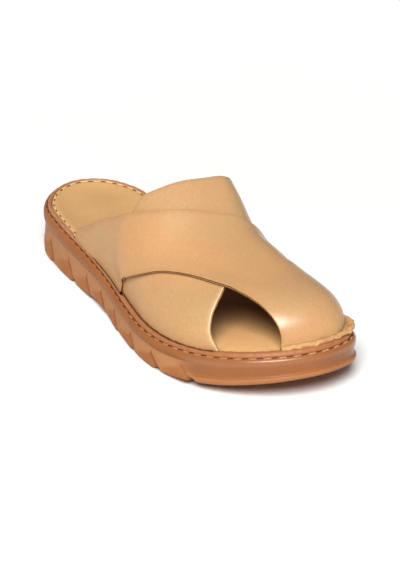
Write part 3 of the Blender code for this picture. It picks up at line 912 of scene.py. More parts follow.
def thread(name, light, deep):
    """Waxed thread, with its twist as fine slanting ribs."""
    finish = Finish(name)
    twist = finish.noise(1500.0, 2.0, 0.5, finish.stretched((1.0, 1.0, 0.4), (0.0, 35.0, 0.0)))
    shade = finish.mix(finish.remap(twist, *NOISE_MIDDLE), light, deep)
    finish.shade(Base_Color=shade, Roughness=finish.spread(twist, 0.55, 0.75))
    finish.shade(Normal=finish.bump(twist, 0.4, 0.15))
    return finish.material


STRAP_LEATHER = leather(
    "strap_leather", colour(190, 155, 106), colour(195, 148, 103), 0.33, 0.34, worn=True
)
LINING = leather("lining_leather", colour(142, 98, 60), colour(120, 80, 48), 0.75, 0.0, 0.6)
# The insole's paler front colour is painted light at the cut-out
INSOLE_LEATHER = leather(
    "insole_leather", colour(214, 168, 113), colour(208, 160, 106), 0.5, 0.03, 0.8, colour(235, 182, 122)
)
CUT_EDGE = raw_edge("cut_edge", colour(222, 176, 124), colour(190, 140, 90))
PALE_EDGE = raw_edge("pale_raw_edge", colour(214, 170, 116), colour(188, 140, 90))
# Glue between the layers; on the over strap's cut edge it is also painted shade
GLUE_AND_EDGE_SHADE = dark_seam("glue_and_painted_edge_shade")
SOLE = moulded_sole("moulded_sole")
WELT_FINISH = welt_roll("welt_roll")
HEEL_THREAD = thread("heel_thread_wax", colour(168, 110, 68), colour(148, 93, 54))
GROOVE_THREAD = thread("groove_thread_wax", colour(188, 136, 94), colour(166, 114, 74))
TOE_THREAD = thread("toe_thread_wax", colour(206, 156, 112), colour(170, 118, 76))
PALE_THREAD = thread("pale_thread", colour(236, 206, 150), colour(206, 164, 106))
# Painted shade: dark capsules in the rim's stitch holes
RIM_HOLE_SHADE = dark_seam("rim_stitch_hole_shade")
# Painted shade: the dark strip along each strap's foot
FOOT_SHADE_STRIP = dark_seam("foot_painted_shade", colour(98, 54, 28), colour(126, 76, 42))
# Painted shade: dark capsules in the groove's stitch holes
GROOVE_HOLE_SHADE = dark_seam("groove_hole_shade", colour(92, 52, 28), colour(122, 74, 42))


# Outsole


def sole_shares():
    """Shares along each side, closer together where a lug ends."""
    marks = list(np.arange(0.0, SIDE_RUN[-1], SOLE_STEP))
    close = []
    for step in LUG_STEPS:
        place = np.interp(step, OUTER_SIDE[:, 0], SIDE_RUN)
        close += [place + mark for mark in LUG_MARKS]
    close = np.array(close)
    kept = [mark for mark in marks if np.abs(close - mark).min() > LUG_MARK_ROOM]
    return np.array(sorted([*kept, *close, SIDE_RUN[-1]])) / SIDE_RUN[-1]


def lug_growth(station):
    """How far each lug has grown from its rear end, 0, to its front end, 1."""
    starts = np.array([0.0, *LUG_STEPS])
    i = np.clip(np.searchsorted(starts, station, side="right") - 1, 0, len(LUG_STEPS) - 1)
    grown = np.clip((station - starts[i]) / (starts[i + 1] - starts[i]), 0.0, 1.0)
    return np.where(station > LUG_STEPS[-1], 0.0, grown)


def tread_lift(station):
    """How far a tread groove lifts the underside at a station."""
    away = np.min([np.abs(station - groove) for groove in TREAD_GROOVES], axis=0)
    return TREAD_DEPTH * np.clip((TREAD_HALF_WIDTH + TREAD_SLOPE - away) / TREAD_SLOPE, 0.0, 1.0)


def fine_tread(flat, edge):
    """Zigzag grooves across the heel and the forefoot, inside a plain border."""
    x = flat[:, 0]
    swing = np.abs((flat[:, 1] / FINE_TREAD_ZIGZAG) % 1.0 - 0.5) * 2 * FINE_TREAD_SWING
    away = np.abs(((x + swing) / FINE_TREAD_PITCH) % 1.0 - 0.5) * FINE_TREAD_PITCH
    ribbed = (1 - ramp(away, *FINE_TREAD_WALL)) * ramp(edge, *FINE_TREAD_BORDER)
    return FINE_TREAD_DEPTH * ribbed * (1 - plateau(x, *SHANK))


def build_outsole():
    shares = sole_shares()
    ring_share = ring_shares(shares)
    station = side_places(ring_share)
    toe = ramp(station, *TOE_LIP_FROM)
    lean = read(LUG_LEAN, station) * plateau(station, *LEAN_RUN)
    level, most, upright = LEAN_SHARES
    grown = lug_growth(station)
    reach = LUG_REACH * (LUG_START_SHARE + (1 - LUG_START_SHARE) * grown)
    lug_top = LUG_TOP[0] + (LUG_TOP[1] - LUG_TOP[0]) * grown**LUG_TOP_CURVE
    lug_shade = LUG_START_SHARE + (1 - LUG_START_SHARE) * ramp(grown, *LUG_SHADE_GROWTH)
    ends = [np.where(station >= step - LUG_SLIT[0], station - step, np.inf) for step in LUG_STEPS]
    past = np.min(ends, axis=0)
    slit = np.clip(1 - np.abs(past - LUG_SLIT[0]) / LUG_SLIT[1], 0.0, 1.0)
    lined = np.clip(LUG_LINE_PEAK - np.abs(past - LUG_LINE[0]) / LUG_LINE[1], 0.0, 1.0)
    skin = Skin("pale", "lug", "dark", "gloss")
    half = len(shares)
    rings = []
    numbers = []
    lift = None
    for share in WALL_SHARES:
        shift = lean * (level - min(share, most)) / most * (1 - ramp(share, most, upright))
        moved = np.clip(ring_share + shift / SIDE_RUN[-1], 0.0, 1.0)
        ring = np.concatenate([along(OUTER_SIDE, moved[:half]), along(INNER_SIDE, moved[half:])])
        if lift is None:
            lift = tread_lift(side_places(moved))
        below_top = 1 - ramp(share, lug_top + LUG_TOP_SOFT[0], lug_top + LUG_TOP_SOFT[1])
        lug = reach * below_top * ramp(share, *LUG_FOOT)
        at_end = (1 - ramp(share, *LUG_SLIT_TOP)) * (1 - toe)
        side_out = read(SIDE_WALL, share) + lug * (1 - slit) - LUG_SLIT_DEPTH * slit * at_end
        out = side_out * (1 - toe) + read(TOE_WALL, share) * toe
        low = underside(ring[:, 0])
        top = GROOVE(ring[:, 0])
        height = low + (top - low) * share + lift * (1 - share) ** TREAD_FADE
        lip = 1 - ramp(share, *LIP_TOP)
        pale_side = 1 - ramp(share, *PALE_TOP)
        lug_side = 1 - ramp(share, lug_top + LUG_SHADE_SOFT[0], lug_top + LUG_SHADE_SOFT[1])
        rings.append(with_height(outset(ring, out), height))
        numbers.append(
            skin.add(
                rings[-1],
                pale=pale_side * (1 - toe) + LIP_PALE * lip * toe,
                lug=lug_side * lug_shade * (1 - toe) + LIP_LUG * lip * toe,
                # Painted shade in the slit at a lug's end
                dark=LUG_SLIT_SHADE * lined * at_end,
                gloss=toe * (POLISH_LEAST + (1 - POLISH_LEAST) * ramp(share, *POLISH_RUN)),
            )
        )
    groove = groove_ring(shares)
    channel = outset(groove, -CHANNEL_INSET)
    top = GROOVE(groove[:, 0])
    for drop in (CHANNEL_DROP, PLATFORM_DROP):
        rings.append(with_height(channel, top - drop))
        # The channel inside the groove is darkened as painted shade
        numbers.append(skin.add(rings[-1], dark=CHANNEL_SHADE))
    skin.bands(numbers)

    def bottom_height(flat, share, k):
        width = np.linalg.norm(rings[0][k, :2] - rings[0][len(rings[0]) - k, :2])
        edge = np.minimum(share, 1 - share) * width
        return underside(flat[:, 0]) + np.maximum(lift[k], fine_tread(flat, edge))

    bottom = across(rings[0], SOLE_COLUMNS, bottom_height)
    # The underside is darkened as painted shade, which also deepens the shadow on the floor under the toe
    skin.cap(numbers[0], bottom, up=False, marks=[{"lug": 1.0, "dark": UNDERSIDE_SHADE}] * len(bottom))
    skin.cap(numbers[-1], across(rings[-1], PLATFORM_COLUMNS, beside_groove(-PLATFORM_DROP)), up=True)
    return skin.piece("outsole_moulded", [SOLE], ["outsole"])


# Welt and its stitches


def slim_part(ring):
    """1 where the welt is slim, 0 where it has its full width and height."""
    x = ring[:, 0]
    outer = outer_part(ring)
    return outer * (1 - ramp(x, *WELT_WIDEN_RUN)) + (1 - outer) * (1 - ramp(x, *WELT_HEEL_RUN))


def tight_part(ring):
    """1 where the over strap's outer base stands close to the groove."""
    return outer_part(ring) * plateau(ring[:, 0], *WELT_TIGHT_RUN)


def welt_inset(ring, width):
    """How far inside the groove a line of the welt runs."""
    slim = 1 - (1 - WELT_NARROW) * slim_part(ring)
    return WELT_START + width * (slim - (WELT_NARROW - WELT_TIGHT_NARROW) * tight_part(ring))


def ring_run(ring):
    """Length along a closed ring at each of its points, and its whole length."""
    run = lengths(np.concatenate([ring, ring[:1]]))
    return run[:-1], run[-1]


def stitch_wave(ring):
    """1 where a stitch pulls the welt in, 0 between stitches."""
    run, whole = ring_run(ring)
    count = round(whole / STITCH_PITCH)
    return 0.5 + 0.5 * np.cos(2 * np.pi * run / whole * count)


def build_welt():
    groove = even_ring(WELT_STEP)
    x = groove[:, 0]
    lower = 1 - (1 - WELT_LOW) * slim_part(groove) - (WELT_LOW - WELT_TIGHT_LOW) * tight_part(groove)
    pinch = stitch_wave(groove) ** 3
    heel = 1 - ramp(x, *WELT_PALE_RUN)
    skin = Skin("heel")
    numbers = []
    for width, height in WELT:
        lifted = height * lower * (1 - WELT_PINCH * pinch) if height > 0 else height
        line = outset(groove, -welt_inset(groove, width) - WELT_PULL * pinch * (width < WELT_PULL_TO))
        numbers.append(skin.add(with_height(line, GROOVE(x) + lifted), heel=heel))
    skin.bands([*numbers, numbers[0]])
    return skin.piece("welt_roll", [WELT_FINISH], ["welt"])


def capsules(name, places, directions, length, radius, flat, slot, finish):
    """Many short rounded rods in one mesh, each along its direction; flat squashes them in height."""
    skin = Skin()
    angles = np.linspace(0.0, 2 * np.pi, CAPSULE_SIDES, endpoint=False)
    for place, direction in zip(places, directions):
        forward = direction / np.linalg.norm(direction)
        aside = np.cross(UPWARD, forward)
        aside /= np.linalg.norm(aside)
        above = np.cross(forward, aside)
        lines = []
        for share, wide in CAPSULE:
            centre = place + forward * length * share
            if wide == 0.0:
                lines.append(skin.add([centre]))
                continue
            circle = np.outer(np.cos(angles), aside) + np.outer(np.sin(angles), above) * flat
            lines.append(skin.add(centre + circle * radius * wide))
        for k in range(CAPSULE_SIDES):
            j = (k + 1) % CAPSULE_SIDES
            skin.face((lines[0][0], lines[1][j], lines[1][k]))
            skin.face((lines[-1][0], lines[-2][k], lines[-2][j]))
        skin.bands(lines[1:-1])
    return skin.piece(name, [finish])


def ring_places(ring, shares):
    """Points and forward directions at shares of a closed ring in space."""
    closed = np.concatenate([ring, ring[:1]])
    places = along(closed, shares % 1.0)
    ahead = along(closed, (shares + LOOK_AHEAD) % 1.0)
    return places, ahead - places


def build_groove_stitches():
    groove = even_ring(WELT_STEP)
    count = round(ring_run(groove)[1] / STITCH_PITCH)
    sunk = STITCH_SINK * (1 - ramp(groove[:, 0], *STITCH_SINK_RUN))

    def stitches(offset, inset, lift):
        line = with_height(outset(groove, -inset), GROOVE(groove[:, 0]) + lift - sunk)
        places, forward = ring_places(line, (np.arange(count) + offset) / count)
        return places, unit(forward) + UPWARD * math.tan(math.radians(STITCH_SLANT))

    places, forward = stitches(0.0, THREAD_INSET, 0.0)
    heel = places[:, 0] < BROWN_THREAD_TO
    toe = places[:, 0] > PALE_THREAD_FROM
    for name, kept, finish in (
        ("heel_thread", heel, HEEL_THREAD),
        ("groove_thread", ~heel & ~toe, GROOVE_THREAD),
        ("toe_thread", toe, TOE_THREAD),
    ):
        rods = (places[kept], forward[kept], STITCH_LENGTH, STITCH_RADIUS, THREAD_FLAT)
        capsules(name, *rods, "welt", finish)
    # Dark capsules between the stitches: painted shade in the stitch holes
    slots = stitches(0.5, SLOT_INSET, SLOT_LIFT)
    capsules("groove_hole_shadows", *slots, SLOT_LENGTH, SLOT_RADIUS, THREAD_FLAT, "welt", GROOVE_HOLE_SHADE)


# Insole


def last_inset(ring):
    """How far inside the groove the last stands: closer to it on the outer side, behind the toe."""
    closer = outer_part(ring) * (1 - ramp(ring[:, 0], *LAST_OUTER_RUN))
    return LAST_INSET + (LAST_OUTER_INSET - LAST_INSET) * closer


def strap_cover(ring):
    """1 where a strap comes down beside the insole, 0 where the insole lies bare."""
    x = ring[:, 0]
    outer = outer_part(ring)

    def begins(base):
        return ramp(x, base - INSOLE_CLEAR - INSOLE_STEP_RUN, base - INSOLE_CLEAR)

    def ends(base):
        return 1 - ramp(x, base + INSOLE_CLEAR, base + INSOLE_CLEAR + INSOLE_STEP_RUN)

    outer_cover = np.maximum(begins(OVER_REAR_BASE) * ends(UNDER_FRONT_OUTER_BASE), begins(OVER_TOE_BASE))
    return outer * outer_cover + (1 - outer) * begins(UNDER_REAR_INNER_BASE)


def insole_inset(groove):
    bare = welt_inset(groove, WELT_WIDTH) + INSOLE_BARE_GAP
    beside_strap = last_inset(groove) + INSOLE_STRAP_GAP
    return bare + (beside_strap - bare) * strap_cover(groove)


def build_insole():
    groove = even_ring(INSOLE_STEP)
    inset = insole_inset(groove)
    dish = smooth_column(INSOLE_CUP)
    skin = Skin("edge", "front")
    numbers = []
    rings = []
    rolled = 1 - ramp(groove[:, 0], *INSOLE_RIM_END)
    for more, height in INSOLE_RIM:
        plain = min(height, INSOLE_PLAIN) if more < INSOLE_OUTER_FACE else INSOLE_PLAIN
        line = outset(groove, -inset - more)
        rings.append(with_height(line, GROOVE(line[:, 0]) + plain + (height - plain) * rolled))
        # The front mark paints light on the insole towards the toe
        front = ramp(line[:, 0], *INSOLE_PAINTED_LIGHT_RUN)
        # The edge mark darkens the crease inside the rolled rim: painted shade
        crease = rolled if INSOLE_CREASE[0] < more < INSOLE_CREASE[1] else 0.0
        numbers.append(skin.add(rings[-1], edge=crease, front=front))
    skin.bands(numbers)
    skin.cap(numbers[0], across(rings[0], PLATFORM_COLUMNS, beside_groove(INSOLE_RIM[0][1])), up=False)
    edge_line = rings[-1][:, :2]

    def dished(flat, share, k):
        away = np.clip(distance_inside(flat, edge_line), 0.0, INSOLE_DISH_REACH) / INSOLE_DISH_REACH
        return GROOVE(flat[:, 0]) + INSOLE_RIM[-1][1] - dish(flat[:, 0]) * (1 - (1 - away) ** 3)

    rows = across(rings[-1], INSOLE_COLUMNS, dished)
    # The front mark paints light on the insole towards the toe
    marks = [{"front": ramp(row[:, 0], *INSOLE_PAINTED_LIGHT_RUN)} for row in rows]
    skin.cap(numbers[-1], rows, up=True, marks=marks)
    skin.piece("insole_leather", [INSOLE_LEATHER], ["insole"])

    line = outset(groove, -inset - RIM_STITCH_INSET)
    line = with_height(line, GROOVE(line[:, 0]) + RIM_STITCH_LIFT)
    bare = line[strap_cover(groove) < RIM_COVERED]
    count = round(ring_run(line)[1] / RIM_STITCH_PITCH)
    # The rim's pale thread, and dark capsules between its stitches as painted shade in the holes
    for name, offset, sink, length, radius, flat, finish in (
        ("rim_thread", 0.5, 0.0, RIM_STITCH_LENGTH, RIM_STITCH_RADIUS, THREAD_FLAT, PALE_THREAD),
        ("rim_hole_shadows", 0.0, RIM_HOLE_SINK, RIM_HOLE_LENGTH, RIM_HOLE_RADIUS, RIM_HOLE_FLAT, RIM_HOLE_SHADE),
    ):
        places, forward = ring_places(line, (np.arange(count) + offset) / count)
        away = np.linalg.norm(places[:, None, :2] - bare[None, :, :2], axis=2).min(axis=1)
        kept = (away < RIM_NEAR) & (places[:, 0] < RIM_STITCH_TO)
        capsules(name, places[kept] - UPWARD * sink, forward[kept], length, radius, flat, "insole", finish)


# Straps


class Last:
    """The form inside the upper: a point for each x and y of the flat pattern."""

    def __init__(self):
        self.top, self.ridge, self.outer_round, self.inner_round = (
            smooth_column(LAST, index) for index in range(1, len(LAST[0]))
        )
        self.groove = groove_ring(np.linspace(0.0, 1.0, FINE))
        self.inset = last_inset(self.groove)
        self.base = self.below_base(0.0)
        self.hem = self.below_base(HEM_DEPTH)
        tip = np.argmax(self.base[:, 0])
        self.outer_base = self.base[: tip + 1]
        self.inner_base = np.concatenate([self.base[tip:], self.base[:1]])[::-1]
        self.centre = np.array([TOE_CENTRE, float(self.ridge(TOE_CENTRE))])
        spokes = self.base - self.centre
        angle = np.arctan2(spokes[:, 1], spokes[:, 0])
        order = np.argsort(angle)
        self.angle = angle[order]
        self.reach = np.linalg.norm(spokes, axis=1)[order]

    def below_base(self, drop):
        """The pattern's line that lies a given way down the wall from the last's base."""
        return outset(self.groove, drop - self.inset)

    def side_y(self, x, side):
        line = self.outer_base if side < 0 else self.inner_base
        return np.interp(x, line[:, 0], line[:, 1])

    def hem_corner(self, x, side):
        """A strap's corner on the hem line at a station."""
        half = self.hem[: len(self.hem) // 2] if side < 0 else self.hem[: len(self.hem) // 2 : -1]
        return np.array([x, np.interp(x, half[:, 0], half[:, 1])])

    def hem_run(self, start, end):
        """The hem line from one corner to another, not round the heel."""
        first = np.argmin(np.linalg.norm(self.hem - start, axis=1))
        last = np.argmin(np.linalg.norm(self.hem - end, axis=1))
        step = 1 if last >= first else -1
        middle = self.hem[first + step : last : step]
        return np.concatenate([[start], middle, [end]])

    def points(self, flat):
        """The pattern on the last: sections across the foot, a fan round the toe, a hem below both."""
        x = flat[:, 0]
        y = flat[:, 1]
        ridge = self.ridge(x)
        outer = y < ridge
        side = np.where(outer, self.side_y(x, -1), self.side_y(x, 1))
        share = np.abs(y - ridge) / np.maximum(np.abs(side - ridge), TINY)
        fan = x > TOE_CENTRE
        spoke = flat - self.centre
        angle = np.arctan2(spoke[:, 1], spoke[:, 0])
        reach = np.interp(angle, self.angle, self.reach, period=2 * np.pi)
        share = np.where(fan, np.linalg.norm(spoke, axis=1) / reach, share)
        past = np.where(fan, reach, np.abs(side - ridge)) * np.clip(share - 1, 0.0, None)
        share = np.minimum(share, 1.0)
        base_x = np.where(fan, self.centre[0] + reach * np.cos(angle), x)
        base_y = np.where(fan, self.centre[1] + reach * np.sin(angle), side)
        ridge_x = np.minimum(x, TOE_CENTRE)
        ridge_y = np.where(fan, self.centre[1], ridge)
        inner_part = np.where(fan, 0.5 + 0.5 * np.sin(angle), np.where(outer, 0.0, 1.0))
        power = self.outer_round(ridge_x) * (1 - inner_part) + self.inner_round(ridge_x) * inner_part
        out = np.sin(share * np.pi / 2) ** power
        up = np.cos(share * np.pi / 2) ** power
        place_x = ridge_x + (base_x - ridge_x) * out
        place_y = ridge_y + (base_y - ridge_y) * out
        foot = GROOVE(base_x) + LAST_BASE
        return np.column_stack([place_x, place_y, foot + (self.top(place_x) - foot) * up - past])

    def normals(self, flat):
        """Outward directions on the last, from small steps along the pattern."""
        along_x = self.points(flat + [PATTERN_STEP, 0.0]) - self.points(flat - [PATTERN_STEP, 0.0])
        along_y = self.points(flat + [0.0, PATTERN_STEP]) - self.points(flat - [0.0, PATTERN_STEP])
        return unit(np.cross(along_x, along_y))


LAST_FORM = Last()
GLOSS_FACING = (0.3, 0.62)
# Warmer leather along this line of the pattern
WARM_LINE = ((138.0, -26.0), (160.0, -18.0), (205.0, 4.0))
WARM_REACH = 15.0
# A dark strip of painted shade along each strap's foot, where the wall goes down behind the welt
FOOT_SHADE_SEED = 11
FOOT_SHADE_STEP = 0.7
FOOT_SHADE_WAVES = ((3.1, 0.09), (5.3, 0.12), (9.7, 0.12))
FOOT_SHADE_SECTION = (
    # way further down the wall, distance out from it
    (0.6, -0.4),
    (0.55, 0.05),
    (0.1, 0.14),
    (-0.3, 0.1),
    (-0.5, 0.03),
    (-0.55, -0.4),
)
# Stations where a strap's strip of painted foot shade starts and ends, and how far down the wall it runs
OVER_FOOT_SHADE = (72.0, 132.5, 1.35)
UNDER_FOOT_SHADE = (138.5, 225.5, 0.55)
# A soft ridge or trough rises over the first quarter of its line and fades over the last
RELIEF_RUN = (0.0, 0.25, 0.75, 1.0)
# Slots of the faces round a cut edge: leather, lining, cut edge and glue line. On the over strap the dark
# glue colour also covers the leather's cut face, as painted shade under its raised edge
OVER_EDGE_SLOTS = (0, 0, 0, 3, 3, 3, 3, 2, 2, 1)
UNDER_EDGE_SLOTS = (0, 0, 2, 2, 2, 3, 2, 2, 2, 1)


def even_steps(line, step):
    """A pattern line again, with points at even steps as measured on the last."""
    run = lengths(LAST_FORM.points(line))
    count = max(2, int(round(run[-1] / step)))
    wanted = np.linspace(0.0, run[-1], count + 1)
    return np.stack([np.interp(wanted, run, line[:, i]) for i in range(2)], axis=1)


def strap_outline(rear_corners, rear_edge, front_corners, front_edge):
    """One closed outline on the pattern: rear edge, inner base, front edge and outer base."""
    rear_outer, rear_inner = rear_corners
    front_outer, front_inner = front_corners
    loop = (
        curve([rear_outer, *rear_edge, rear_inner]),
        LAST_FORM.hem_run(rear_inner, front_inner),
        curve([front_outer, *front_edge, front_inner])[::-1],
        LAST_FORM.hem_run(rear_outer, front_outer)[::-1],
    )
    return np.concatenate([even_steps(line, STRAP_STEP)[:-1] for line in loop])


def rib_points():
    """Pattern points on ribs across the last, at even steps as measured on it."""
    blocks = []
    shares = np.linspace(0.0, 1.0, RIB_POINTS)[:, None]
    for x in np.arange(LAST[0][0], TOE_CENTRE, RIB_STEP):
        ridge = np.array([x, float(LAST_FORM.ridge(x))])
        for side in (-1, 1):
            hem = LAST_FORM.hem_corner(x, side)
            blocks.append(even_steps(ridge + shares * (hem - ridge), RIB_STEP))
    shares = np.linspace(FAN_START, 1.0, RIB_POINTS)[:, None]
    for angle in np.radians(np.arange(*FAN_ANGLES)):
        reach = np.interp(angle, LAST_FORM.angle, LAST_FORM.reach, period=2 * np.pi) + HEM_DEPTH
        spoke = shares * reach * np.array([np.cos(angle), np.sin(angle)])
        blocks.append(even_steps(LAST_FORM.centre + spoke, RIB_STEP))
    return np.concatenate(blocks)


RIBS = rib_points()


def relief(points, normal, humps):
    """Pushes points along their normals by soft humps and troughs: start, end, width, height."""
    moved = np.zeros(len(points))
    for start, end, width, height in humps:
        start = np.array(start)
        step = np.array(end) - start
        share = np.clip((points - start) @ step / (step @ step), 0.0, 1.0)
        away = np.linalg.norm(points - start - share[:, None] * step, axis=1)
        moved += height * np.exp(-((away / width) ** 2)) * plateau(share, *RELIEF_RUN)
    return points + normal * moved[:, None]


def waves(run, table, seed):
    """An uneven line: waves of the given periods and heights, each with its own start."""
    draw = np.random.default_rng(seed)
    return sum(size * np.sin(2 * np.pi * (run / period + draw.random())) for period, size in table)


def build_foot_shade_strip(name, laid, start, end, drop):
    """The dark strip of painted shade where a strap's outer wall goes down behind the welt, uneven along
    its upper side.
    """

    def wall(lower):
        side = LAST_FORM.below_base(lower)[:FINE]
        return side[(side[:, 0] > start) & (side[:, 0] < end)]

    whole = lengths(wall(drop))[-1]
    count = int(whole / FOOT_SHADE_STEP)
    wave = waves(np.linspace(0.0, whole, count), FOOT_SHADE_WAVES, FOOT_SHADE_SEED)
    skin = Skin()
    lines = []
    for lower, out in FOOT_SHADE_SECTION:
        placed = laid(along(wall(drop + lower), np.linspace(0.0, 1.0, count)), STRAP_WALL + out)
        placed[:, 2] += wave * (lower < 0)
        lines.append(skin.add(placed))
    skin.bands([*lines, lines[0]], closed=False)
    skin.face(tuple(line[0] for line in lines[::-1]))
    skin.face(tuple(line[-1] for line in lines))
    return skin.piece(name, [FOOT_SHADE_STRIP])


def build_strap(name, outline, lift, humps, edge_slots, front, foot, replaces=()):
    """A strap: leather and lining on the last, with a cut edge of two layers all round."""
    ribs = RIBS[distance_inside(RIBS, outline) > RIB_EDGE]
    first = outset(outline, -STRAP_EDGE[0][0])
    flat = np.concatenate([first, ribs])
    rim = [(i, (i + 1) % len(outline)) for i in range(len(outline))]
    places, _, faces, *_ = delaunay_2d_cdt([Vector(p) for p in flat], rim, [], 1, PATTERN_MERGE)
    flat = np.array(places)
    skin = Skin("edge", "gloss", "warm", "rub")

    def laid(pattern, height):
        normal = LAST_FORM.normals(pattern)
        raised = lift(pattern) + height
        return relief(LAST_FORM.points(pattern) + normal * raised[:, None], normal, humps)

    inside = distance_inside(flat, outline)
    at_front = np.zeros(len(flat))
    if front is not None:
        at_front = 1 - ramp(distance_to_line(flat, front), *FRONT_REACH)
    edge = (1 - ramp(inside, *EDGE_WEAR_RUN)) * (1 - at_front)
    # Painted highlight: pale leather along the open front edge, on the face and on the cut
    rub = EDGE_HIGHLIGHT_FACE * at_front * (1 - ramp(inside, *EDGE_HIGHLIGHT_RUN))
    gloss = ramp(LAST_FORM.normals(flat)[:, 2], *GLOSS_FACING)
    warm = np.exp(-((distance_to_line(flat, np.array(WARM_LINE)) / WARM_REACH) ** 2))
    outer = skin.add(laid(flat, STRAP_WALL), edge=edge, gloss=gloss, warm=warm, rub=rub)
    inner = skin.add(laid(flat, 0.0), edge=0.0)
    for face in faces:
        skin.face(tuple(outer[i] for i in face), 0)
        skin.face(tuple(inner[i] for i in face[::-1]), 1)
    count = len(outline)
    at_front = at_front[:count]
    lines = [outer[:count]]
    # The cut's rows along the open front edge carry the painted highlight
    for inset, height in STRAP_EDGE[1:-1]:
        placed = laid(outset(outline, -inset), height)
        lines.append(skin.add(placed, edge=1 - at_front, rub=EDGE_HIGHLIGHT_ON_CUT * at_front))
    lines.append(inner[:count])
    for near, far, slot in zip(lines, lines[1:], edge_slots):
        skin.band(near, far, slot)
    # A dark strip of painted shade along the strap's foot, above the welt
    build_foot_shade_strip(name + "_foot_shade", laid, *foot)
    return skin.piece(name, [STRAP_LEATHER, LINING, CUT_EDGE, GLUE_AND_EDGE_SHADE], replaces)


# The instep is a little flatter on its inner side, in both straps
INSTEP_TROUGH = ((166.0, 26.5, 53.0), (200.0, 29.0, 45.0), 8.0, -1.0)
OVER_RELIEF = (
    # start, end, half width, height of soft ridges and troughs
    INSTEP_TROUGH,
    ((52.0, -37.0, 26.0), (100.0, -39.0, 22.0), 11.0, 1.1),
    ((256.0, 12.0, 31.0), (214.0, 42.0, 27.0), 9.0, 1.9),
    ((246.0, 18.0, 30.0), (236.0, 16.0, 41.0), 2.6, -0.5),
    ((243.0, 24.0, 30.0), (234.0, 21.0, 40.0), 2.6, -0.5),
    ((238.0, 29.0, 29.0), (230.0, 25.0, 39.0), 2.6, -0.45),
)
UNDER_RELIEF = (
    INSTEP_TROUGH,
    ((150.0, -38.0, 30.0), (172.0, -41.0, 24.0), 6.0, 0.35),
    ((160.0, -16.0, 55.0), (178.0, -26.0, 45.0), 9.0, 0.3),
)


def build_straps():
    corner = LAST_FORM.hem_corner
    rear = (corner(UNDER_REAR_OUTER_BASE, -1), corner(UNDER_REAR_INNER_BASE, 1))
    front = (corner(UNDER_FRONT_OUTER_BASE, -1), corner(UNDER_FRONT_INNER_BASE, 1))
    crossed = strap_outline(rear, UNDER_REAR_EDGE, front, UNDER_FRONT_EDGE)
    rear = (corner(OVER_REAR_BASE, -1), corner(OVER_INNER_BASE, 1))
    to_toe = (corner(OVER_FRONT_BASE, -1), corner(OVER_TOE_BASE, -1))
    outline = strap_outline(rear, OVER_REAR_EDGE, to_toe, OVER_FRONT_EDGE)
    open_edge = curve([front[0], *UNDER_FRONT_EDGE])
    front = curve(OVER_FRONT_EDGE)

    def lying(flat):
        return np.zeros(len(flat))

    def lift(flat):
        over = ramp(distance_inside(flat, crossed), -STRAP_FALL, 0.0)
        above_base = distance_inside(flat, LAST_FORM.base[::BASE_SKIP])
        at_front = 1 - ramp(distance_to_line(flat, front), 0.0, EDGE_RAISE_RUN)
        riding = (STRAP_WALL + STRAP_GAP + EDGE_RAISE * at_front) * over * ramp(above_base, 0.0, STRAP_RISE)
        outer = (flat[:, 1] < 0) * (1 - ramp(flat[:, 0], *STAND_OFF_END))
        standing = STAND_OFF * outer * (1 - ramp(above_base, 0.0, STAND_OFF_RISE))
        # The root of the cubes' sum goes over from one to the other without a crease
        return np.cbrt(riding**3 + standing**3)

    build_strap("under_strap", crossed, lying, UNDER_RELIEF, UNDER_EDGE_SLOTS, open_edge, UNDER_FOOT_SHADE)
    build_strap("over_strap", outline, lift, OVER_RELIEF, OVER_EDGE_SLOTS, None, OVER_FOOT_SHADE, ["upper"])


# Raw flange round the toe

FLANGE_STEP = 0.45
FLANGE_START = 250.5
FLANGE_END = 160.0
FLANGE_INNER_INSET = 4.9
FLANGE_BASE = 2.3
FLANGE_SEED = 5
FLANGE_WAVES = ((2.7, 0.10), (4.9, 0.20), (8.3, 0.26), (13.1, 0.2))
# Fine ribs across the raw edge: height, pitch and the length over which they fade
FLANGE_RIB = 0.14
FLANGE_RIB_PITCH = 1.35
FLANGE_RIB_RUN = (18.0, 34.0)
# The flange grows at its start and fades at its end, and keeps a part of its width and height there
FLANGE_GROW = 1.5
FLANGE_SHRINK = 8.0
FLANGE_LEAST_WIDTH = 0.2
FLANGE_LEAST_HEIGHT = 0.4
FLANGE_WEAR = 0.1
FLANGE_WAVE_HEIGHT = 0.5
# Half width of the crease as a share of the way out, and the height above which the ribs show
FLANGE_CREASE = 0.1
FLANGE_RIB_FROM = 0.5
FLANGE_SECTION = (
    # share of the way out, height above the welt, slot of the face that ends here
    (-0.40, 3.4, 0),
    (-0.18, 2.6, 0),
    (-0.05, 1.95, 0),
    (0.00, 1.35, 0),
    (0.06, 1.55, 1),
    (0.16, 1.9, 1),
    (0.40, 2.05, 1),
    (0.66, 1.95, 1),
    (0.86, 1.6, 1),
    (0.97, 1.05, 1),
    (1.00, 0.55, 1),
    (0.93, 0.15, 1),
    (0.70, 0.0, 1),
    (-0.40, 0.0, 1),
)
FLANGE_OUT = (
    # length from the cut-out's corner, inset of the outer edge, extra height there, share out of the crease
    (0.0, 2.4, -0.3, 0.0),
    (6.0, 2.3, 0.0, 0.0),
    (14.0, 2.7, -0.2, 0.0),
    (22.0, 2.6, 0.0, 0.0),
    (30.0, 2.2, 0.2, 0.02),
    (38.0, 1.4, 0.3, 0.12),
    (44.0, 0.0, 0.8, 0.34),
    (50.0, -1.0, 1.6, 0.46),
    (60.0, -1.1, 1.9, 0.46),
    (72.0, -0.6, 0.9, 0.4),
    (90.0, 0.8, 0.2, 0.3),
    (140.0, 1.2, 0.0, 0.2),
)


